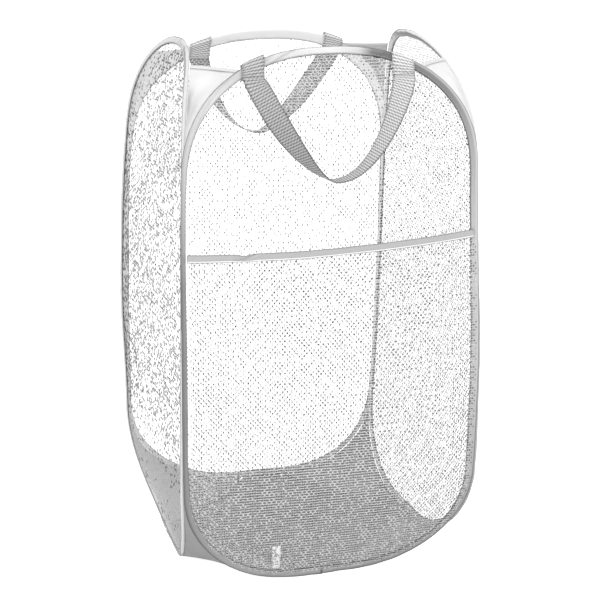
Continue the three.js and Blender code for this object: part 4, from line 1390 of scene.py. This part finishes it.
def build_base():
    """Base cloth: eight-sided between the hoops' foot runs, slightly rumpled."""
    reach_x, reach_y = (plane - FOOT_LEAN - BASE_GAP for plane in (PLANE_X, PLANE_Y))
    for panel, (side, axis, foot, level) in BASE_HALVES.items():
        grid = base_grid(side, reach_x, reach_y)
        flat = grid.reshape(-1, 3)
        rumple = np.clip(ripple(flat, RUMPLE_SIZE, RUMPLE_SEED) * RUMPLE_DEPTH, *RUMPLE_LIMITS)
        flat[:, 2] = BASE_TOP * 0.5 + level + rumple
        front, rear = (side_move(name, flat[:, 0] * turn, flat[:, 2])
                       for name, turn in (("front", 1), ("rear", -1)))
        deep = flat[:, 1] / PLANE_Y / 2 + 0.5
        shift = front * (1 - deep) + rear * deep
        world = settle(flat + shift[:, None] * [1, 0, 0]).reshape(grid.shape)
        made = cloth_object(f"{panel}_base_cloth", world, material("base_weave"), BASE_CLOTH, flat[:, :2])
        set_tone(made, 1.0 + BASE_TONE_DEPTH * ripple(flat, BASE_TONE_SIZE, BASE_TONE_SEED))
        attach(made, PANELS[panel]["body"])
        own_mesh(made)
        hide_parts("base_panel")


# Handles

# How the hanging strap's two sides sweep down and twist edge-on, which the photograph
# shows as uneven, where the legs of its sewn ends stop, and its place on the panel
HANDLE_WIDTH = 0.025
LEFT_SWEEP, RIGHT_SWEEP = 1.5, 2.2
LEFT_TWIST, RIGHT_TWIST = 1.4, 0.45
SQUARE_SHARE = 0.12
OUTER_LEG, INNER_LEG = 0.012, 0.013
HANDLE_SPREAD = HALF_FRONT - 0.0787
SWING_Z = STRAP_BOX[1].z
HANDLE_DROP = STRAP_BOX[1].z - STRAP_BOX[0].z
STRAP_OFF = 0.0031
HANDLE_SHIFT = -0.0040
STRAP_ROWS, STRAP_COLUMNS, STRAP_CROWN = 110, 11, 0.0005
# Sewn ends: columns and rows, the gap of the legs over the panel's middle, how far the knee
# lies under the hoop, and how far the wrap lies off the tape
END_COLUMNS, END_ROWS = 7, 40
END_GAP, END_KNEE, END_OFF = 0.0018, 0.0074, 0.0012
KNEE_GAP_SHARE, TIP_GAP_SHARE = 1.5, 1.15
# Box stitch: its first and last row from the end's tip, and how far it stands off the panel
BOX_FIRST, BOX_LAST, BOX_OFF = -9, -2, -0.0034
BOX_CORNER_PAIRS = ((0, 1), (1, 2), (2, 3), (3, 0), (0, 2), (1, 3))
# Woven edges of the webbing: where they start, as a share of its half width, and their tones
WEBBING_EDGE_SHARE, STRAP_EDGE_TONE, END_EDGE_TONE = 0.9, 0.45, 0.8


def strap_grid(steps, columns, drop):
    """Hanging strap: flat on the panel at its ends, edge-on to it at its lowest point."""
    rows = []
    for across in np.linspace(-1, 1, steps):
        power, twist = (LEFT_SWEEP, LEFT_TWIST) if across < 0 else (RIGHT_SWEEP, RIGHT_TWIST)
        height = abs(across) ** power
        slope = math.copysign(power * abs(across) ** (power - 1), across)
        turn = RIGHT_ANGLE * (1 - height) ** twist
        path = Vector((HANDLE_SPREAD, 0, slope * drop)).normalized()
        square = Vector((path.z, 0, -path.x)) * (1 if across >= 0 else -1)
        mix = min(1.0, (1 - height) / SQUARE_SHARE)
        flat = Vector((1, 0, 0)).lerp(square, mix).normalized() * math.cos(turn)
        out = HANDLE_WIDTH / 2 * math.sin(turn)
        middle = Vector((across * HANDLE_SPREAD + HANDLE_SHIFT, 0, SWING_Z - drop * (1 - height)))
        row = []
        for side in np.linspace(-1, 1, columns):
            edge = middle + flat * (side * HANDLE_WIDTH / 2)
            crown = STRAP_CROWN * (1 - side * side)
            edge.y = float(lean(edge.z)) - STRAP_OFF - out * (1 + side) - crown * math.cos(turn)
            row.append(tuple(edge))
        rows.append(row)
    return np.array(rows)


def webbing_tones(along, columns, dark):
    """Tones of a band of webbing: one for each row, which carry its painted light and shade, and darker
    at its woven edges.
    """
    share = np.abs(np.linspace(-1, 1, columns))
    return (np.asarray(along)[:, None] * np.where(share > WEBBING_EDGE_SHARE, dark, 1.0)[None]).ravel()


def strap_stations():
    """Places along the top arc that a handle's sewn end covers, outer edge first."""
    across = [HANDLE_SPREAD + HANDLE_WIDTH / 2 * s for s in np.linspace(1, -1, END_COLUMNS)]
    return [top_arc(HALF_FRONT, arc_angle(u / HALF_FRONT)) for u in across]


def end_grid(side):
    """Sewn end: from inside the panel over the hoop and down outside it."""
    stations = strap_stations()
    tip = stations[0][1] - OUTER_LEG
    inner_tip = tip - INNER_LEG + OUTER_LEG
    radius = FOLD_RADIUS + END_OFF
    columns = []
    for u, z in stations:
        knee = z - END_KNEE
        inner = [(lean(inner_tip) + END_GAP, inner_tip), (lean(tip) + END_GAP, tip),
                 (lean(knee) + END_GAP * KNEE_GAP_SHARE, knee)]
        wrap = [(lean(z) + radius * math.cos(a), z + radius * math.sin(a))
                for a in np.linspace(0, math.pi, 9)]
        outer = [(lean(knee) - END_GAP * KNEE_GAP_SHARE, knee),
                 (lean(tip) - END_GAP * TIP_GAP_SHARE, tip)]
        path = evenly(np.array([(float(y), float(h)) for y, h in inner + wrap + outer]), END_ROWS)
        columns.append(np.stack([np.full(END_ROWS, side * u + HANDLE_SHIFT), path[:, 0], path[:, 1]], 1))
    return np.array(columns).transpose(1, 0, 2)


def box_stitch(grid, panel):
    """A sewn square with a cross in it, on the outer leg of a handle's end."""
    left, right = 1, grid.shape[1] - 2
    corners = [grid[row, column] for row, column in (
        (BOX_FIRST, left), (BOX_FIRST, right), (BOX_LAST, right), (BOX_LAST, left))]
    rows = []
    for a, b in BOX_CORNER_PAIRS:
        line = np.linspace(corners[a], corners[b], 12)
        line[:, 1] = lean(line[:, 2]) + BOX_OFF
        rows.append(place(panel, line))
    return rows


# How far each handle hangs, as a share of the frame's, and its tones from one end to the other, which are
# painted light and shade: each stretch lighter or darker as it faces the light
STRAP_SET = {
    "front": (1.0, (1.12, 0.98, 0.92, 1.30, 1.52, 1.55)), "rear": (0.955, (1.10, 1.08, 1.05, 1.05)),
}
# Painted light and shade of a sewn end: its tones at these shares of its way from inside the panel to its
# outer tip
END_TONE_SHARES = (0, 0.42, 0.52, 1)
END_LIGHT_AND_SHADE = {"front": (1.3, 1.3, 1.15, 1.0), "rear": (1.5, 1.55, 1.9, 1.9)}


def build_handle(panel):
    """Hanging strap of one handle, and its two ends that are sewn over the hoop."""
    sizes = bpy.context.scene.hamper_sizes
    side_body, handle_body = PANELS[panel]["body"], f"{panel}_handle"
    share, tones = STRAP_SET[panel]
    grid = strap_grid(STRAP_ROWS, STRAP_COLUMNS, HANDLE_DROP * share)
    strap = cloth_object(f"{panel}_webbing_strap", place(panel, grid), material("ribbed_webbing"),
                         sizes.webbing_thickness)
    along = np.interp(np.linspace(0, 1, STRAP_ROWS), np.linspace(0, 1, len(tones)), tones)
    set_tone(strap, webbing_tones(along, STRAP_COLUMNS, STRAP_EDGE_TONE))
    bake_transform(strap)
    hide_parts(f"{panel}_handle_strap")
    for side in (-1, 1):
        word = "left" if (side < 0) == (panel == "front") else "right"
        lap = end_grid(side)
        end = cloth_object(f"{panel}_{word}_webbing_end", place(panel, lap),
                           material("ribbed_webbing"), sizes.webbing_thickness)
        tones = np.interp(np.linspace(0, 1, END_ROWS), END_TONE_SHARES, END_LIGHT_AND_SHADE[panel])
        set_tone(end, webbing_tones(tones * along[0 if side < 0 else -1], END_COLUMNS, END_EDGE_TONE))
        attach(end, side_body)
        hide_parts(f"{panel}_handle_{word}_end")
        stitches = stitch_rows(f"{panel}_{word}_end_stitches", box_stitch(lap, panel), side_body,
                               thread="webbing_thread")


# Stage

# Soft square lights (place, watts), the spot they aim at and their size, the world's light on
# the object, the floor's own glow to the camera, and half the floor's width
LIGHTS = {"key_light": ((-1.6, -2.2, 2.4), 34), "fill_light": ((2.2, -1.6, 1.4), 12)}
LIGHT_AIM, LIGHT_SIZE = (0, 0, 0.3), 1.8
AMBIENT, FLOOR_GLOW = 0.72, 0.92
FLOOR_HALF = 14.0


def camera_matrix():
    """The camera's place and turn: looking along its yaw and pitch, then rolled."""
    forward = Vector((math.sin(CAMERA_YAW) * math.cos(CAMERA_PITCH),
                      math.cos(CAMERA_YAW) * math.cos(CAMERA_PITCH), math.sin(CAMERA_PITCH)))
    level = Vector((math.cos(CAMERA_YAW), -math.sin(CAMERA_YAW), 0))
    above = level.cross(forward)
    right = level * math.cos(CAMERA_ROLL) + above * math.sin(CAMERA_ROLL)
    up = above * math.cos(CAMERA_ROLL) - level * math.sin(CAMERA_ROLL)
    turn = Matrix((right, up, -forward)).transposed().to_4x4()
    return Matrix.Translation(CAMERA_PLACE) @ turn


def build_camera():
    """The camera of the photographed view."""
    data = bpy.data.cameras.new("photo_camera")
    data.lens = CAMERA_LENS
    data.sensor_width = CAMERA_SENSOR
    data.clip_start, data.clip_end = 0.05, 30
    camera = add_object("photo_camera", data)
    camera.matrix_world = camera_matrix()
    bpy.context.scene.camera = camera


def area_light(name, spot, watts):
    """A soft square lamp that points at the hamper's middle."""
    data = bpy.data.lights.new(name, "AREA")
    data.shape, data.size, data.energy = "SQUARE", LIGHT_SIZE, watts
    lamp = add_object(name, data)
    lamp.location = spot
    lamp.rotation_mode = "QUATERNION"
    lamp.rotation_quaternion = (Vector(spot) - Vector(LIGHT_AIM)).to_track_quat("Z", "Y")


def seen_directly(tree):
    """1 where the camera sees a surface or the sky, straight on or in a reflection."""
    ray = add_node(tree, "ShaderNodeLightPath").outputs
    seen = math_node(tree, "MAXIMUM", ray["Is Camera Ray"], ray["Is Glossy Ray"])
    return math_node(tree, "MAXIMUM", seen, ray["Is Transmission Ray"])


def build_world():
    """A white sky to the camera and in reflections, and a softer light on the object."""
    world = bpy.data.worlds.new("soft_studio")
    world.use_nodes = True
    bpy.context.scene.world = world
    tree = world.node_tree
    strength = math_node(tree, "MULTIPLY_ADD", seen_directly(tree), 1.0 - AMBIENT, AMBIENT)
    background = tree.nodes["Background"]
    background.inputs["Color"].default_value = (1, 1, 1, 1)
    tree.links.new(strength, background.inputs["Strength"])


def floor_material(colour):
    """Pale floor that glows to the camera and keeps the object's shadow."""
    made, tree, shader, _ = start_material("studio_floor", colour, 0.9)
    shader.inputs["Base Color"].default_value = (*colour, 1)
    strength = math_node(tree, "MULTIPLY", seen_directly(tree), FLOOR_GLOW)
    emission = add_node(tree, "ShaderNodeEmission", {"Strength": strength})
    both = add_node(tree, "ShaderNodeAddShader", {0: shader.outputs[0], 1: emission.outputs[0]})
    tree.links.new(both.outputs[0], tree.nodes["Material Output"].inputs["Surface"])
    return made


def build_stage():
    """Floor, sky, lights and camera."""
    scene = bpy.context.scene
    scene.view_settings.view_transform = "Standard"
    corners = [(x * FLOOR_HALF, y * FLOOR_HALF, 0) for x, y in ((-1, -1), (1, -1), (1, 1), (-1, 1))]
    floor = make_object("floor", corners, [(0, 1, 2, 3)], floor_material(scene.hamper_colours.floor),
                        smooth=False)
    build_world()
    for name, (spot, watts) in LIGHTS.items():
        area_light(name, spot, watts)
    build_camera()


class HamperMaterials(bpy.types.Operator):
    """Makes the cloth, thread and wire materials"""

    bl_idname = "hamper.materials"
    bl_label = "Materials"

    def execute(self, context):
        build_materials()
        return {"FINISHED"}


class HamperWires(bpy.types.Operator):
    """Makes the spring wires and their crimped sleeves"""

    bl_idname = "hamper.wires"
    bl_label = "Spring Wires"

    def execute(self, context):
        for name in PANELS:
            build_wire(name)
        return {"FINISHED"}


class HamperNets(bpy.types.Operator):
    """Knits the four nets"""

    bl_idname = "hamper.nets"
    bl_label = "Nets"

    def execute(self, context):
        for name in PANELS:
            build_net(name)
        return {"FINISHED"}


class HamperBindings(bpy.types.Operator):
    """Folds the tapes over the hoops and stitches them"""

    bl_idname = "hamper.bindings"
    bl_label = "Binding Tapes"

    def execute(self, context):
        for name in PANELS:
            build_binding(name)
        return {"FINISHED"}


class HamperPocket(bpy.types.Operator):
    """Makes the side pocket, its hem band and the blank label"""

    bl_idname = "hamper.pocket"
    bl_label = "Side Pocket"

    def execute(self, context):
        build_pocket()
        build_label()
        return {"FINISHED"}


class HamperGussets(bpy.types.Operator):
    """Makes the gussets in the four corners"""

    bl_idname = "hamper.gussets"
    bl_label = "Corner Gussets"

    def execute(self, context):
        for corner in CORNERS:
            build_gusset(corner)
        return {"FINISHED"}


class HamperBase(bpy.types.Operator):
    """Lays the base cloth"""

    bl_idname = "hamper.base"
    bl_label = "Base"

    def execute(self, context):
        build_base()
        return {"FINISHED"}


class HamperHandles(bpy.types.Operator):
    """Hangs the two webbing handles"""

    bl_idname = "hamper.handles"
    bl_label = "Handles"

    def execute(self, context):
        for panel in ("front", "rear"):
            build_handle(panel)
        return {"FINISHED"}


class HamperStage(bpy.types.Operator):
    """Sets the floor, the light and the camera"""

    bl_idname = "hamper.stage"
    bl_label = "Stage"

    def execute(self, context):
        build_stage()
        return {"FINISHED"}


STEPS = (
    HamperMaterials, HamperWires, HamperNets, HamperBindings, HamperPocket, HamperGussets,
    HamperBase, HamperHandles, HamperStage,
)


class HamperPanel(bpy.types.Panel):
    """Lists the hamper's steps, sizes and colours"""

    bl_idname = "VIEW3D_PT_hamper"
    bl_label = "Laundry Hamper"
    bl_space_type = "VIEW_3D"
    bl_region_type = "UI"
    bl_category = "Hamper"

    def draw(self, context):
        for step in STEPS:
            self.layout.operator(step.bl_idname)
        for group in (context.scene.hamper_sizes, context.scene.hamper_colours):
            box = self.layout.box()
            for name in group.bl_rna.properties.keys():
                if name not in ("rna_type", "name"):
                    box.prop(group, name)


CLASSES = (HamperSizes, HamperColours, *STEPS, HamperPanel)


def register():
    for made in CLASSES:
        bpy.utils.register_class(made)
    bpy.types.Scene.hamper_sizes = bpy.props.PointerProperty(type=HamperSizes)
    bpy.types.Scene.hamper_colours = bpy.props.PointerProperty(type=HamperColours)


def unregister():
    del bpy.types.Scene.hamper_colours
    del bpy.types.Scene.hamper_sizes
    for made in reversed(CLASSES):
        bpy.utils.unregister_class(made)


def main():
    """Builds the hamper step by step."""
    register()
    for step in STEPS:
        name = step.bl_idname.split(".")[1]
        getattr(bpy.ops.hamper, name)()


if __name__ == "__main__":
    main()
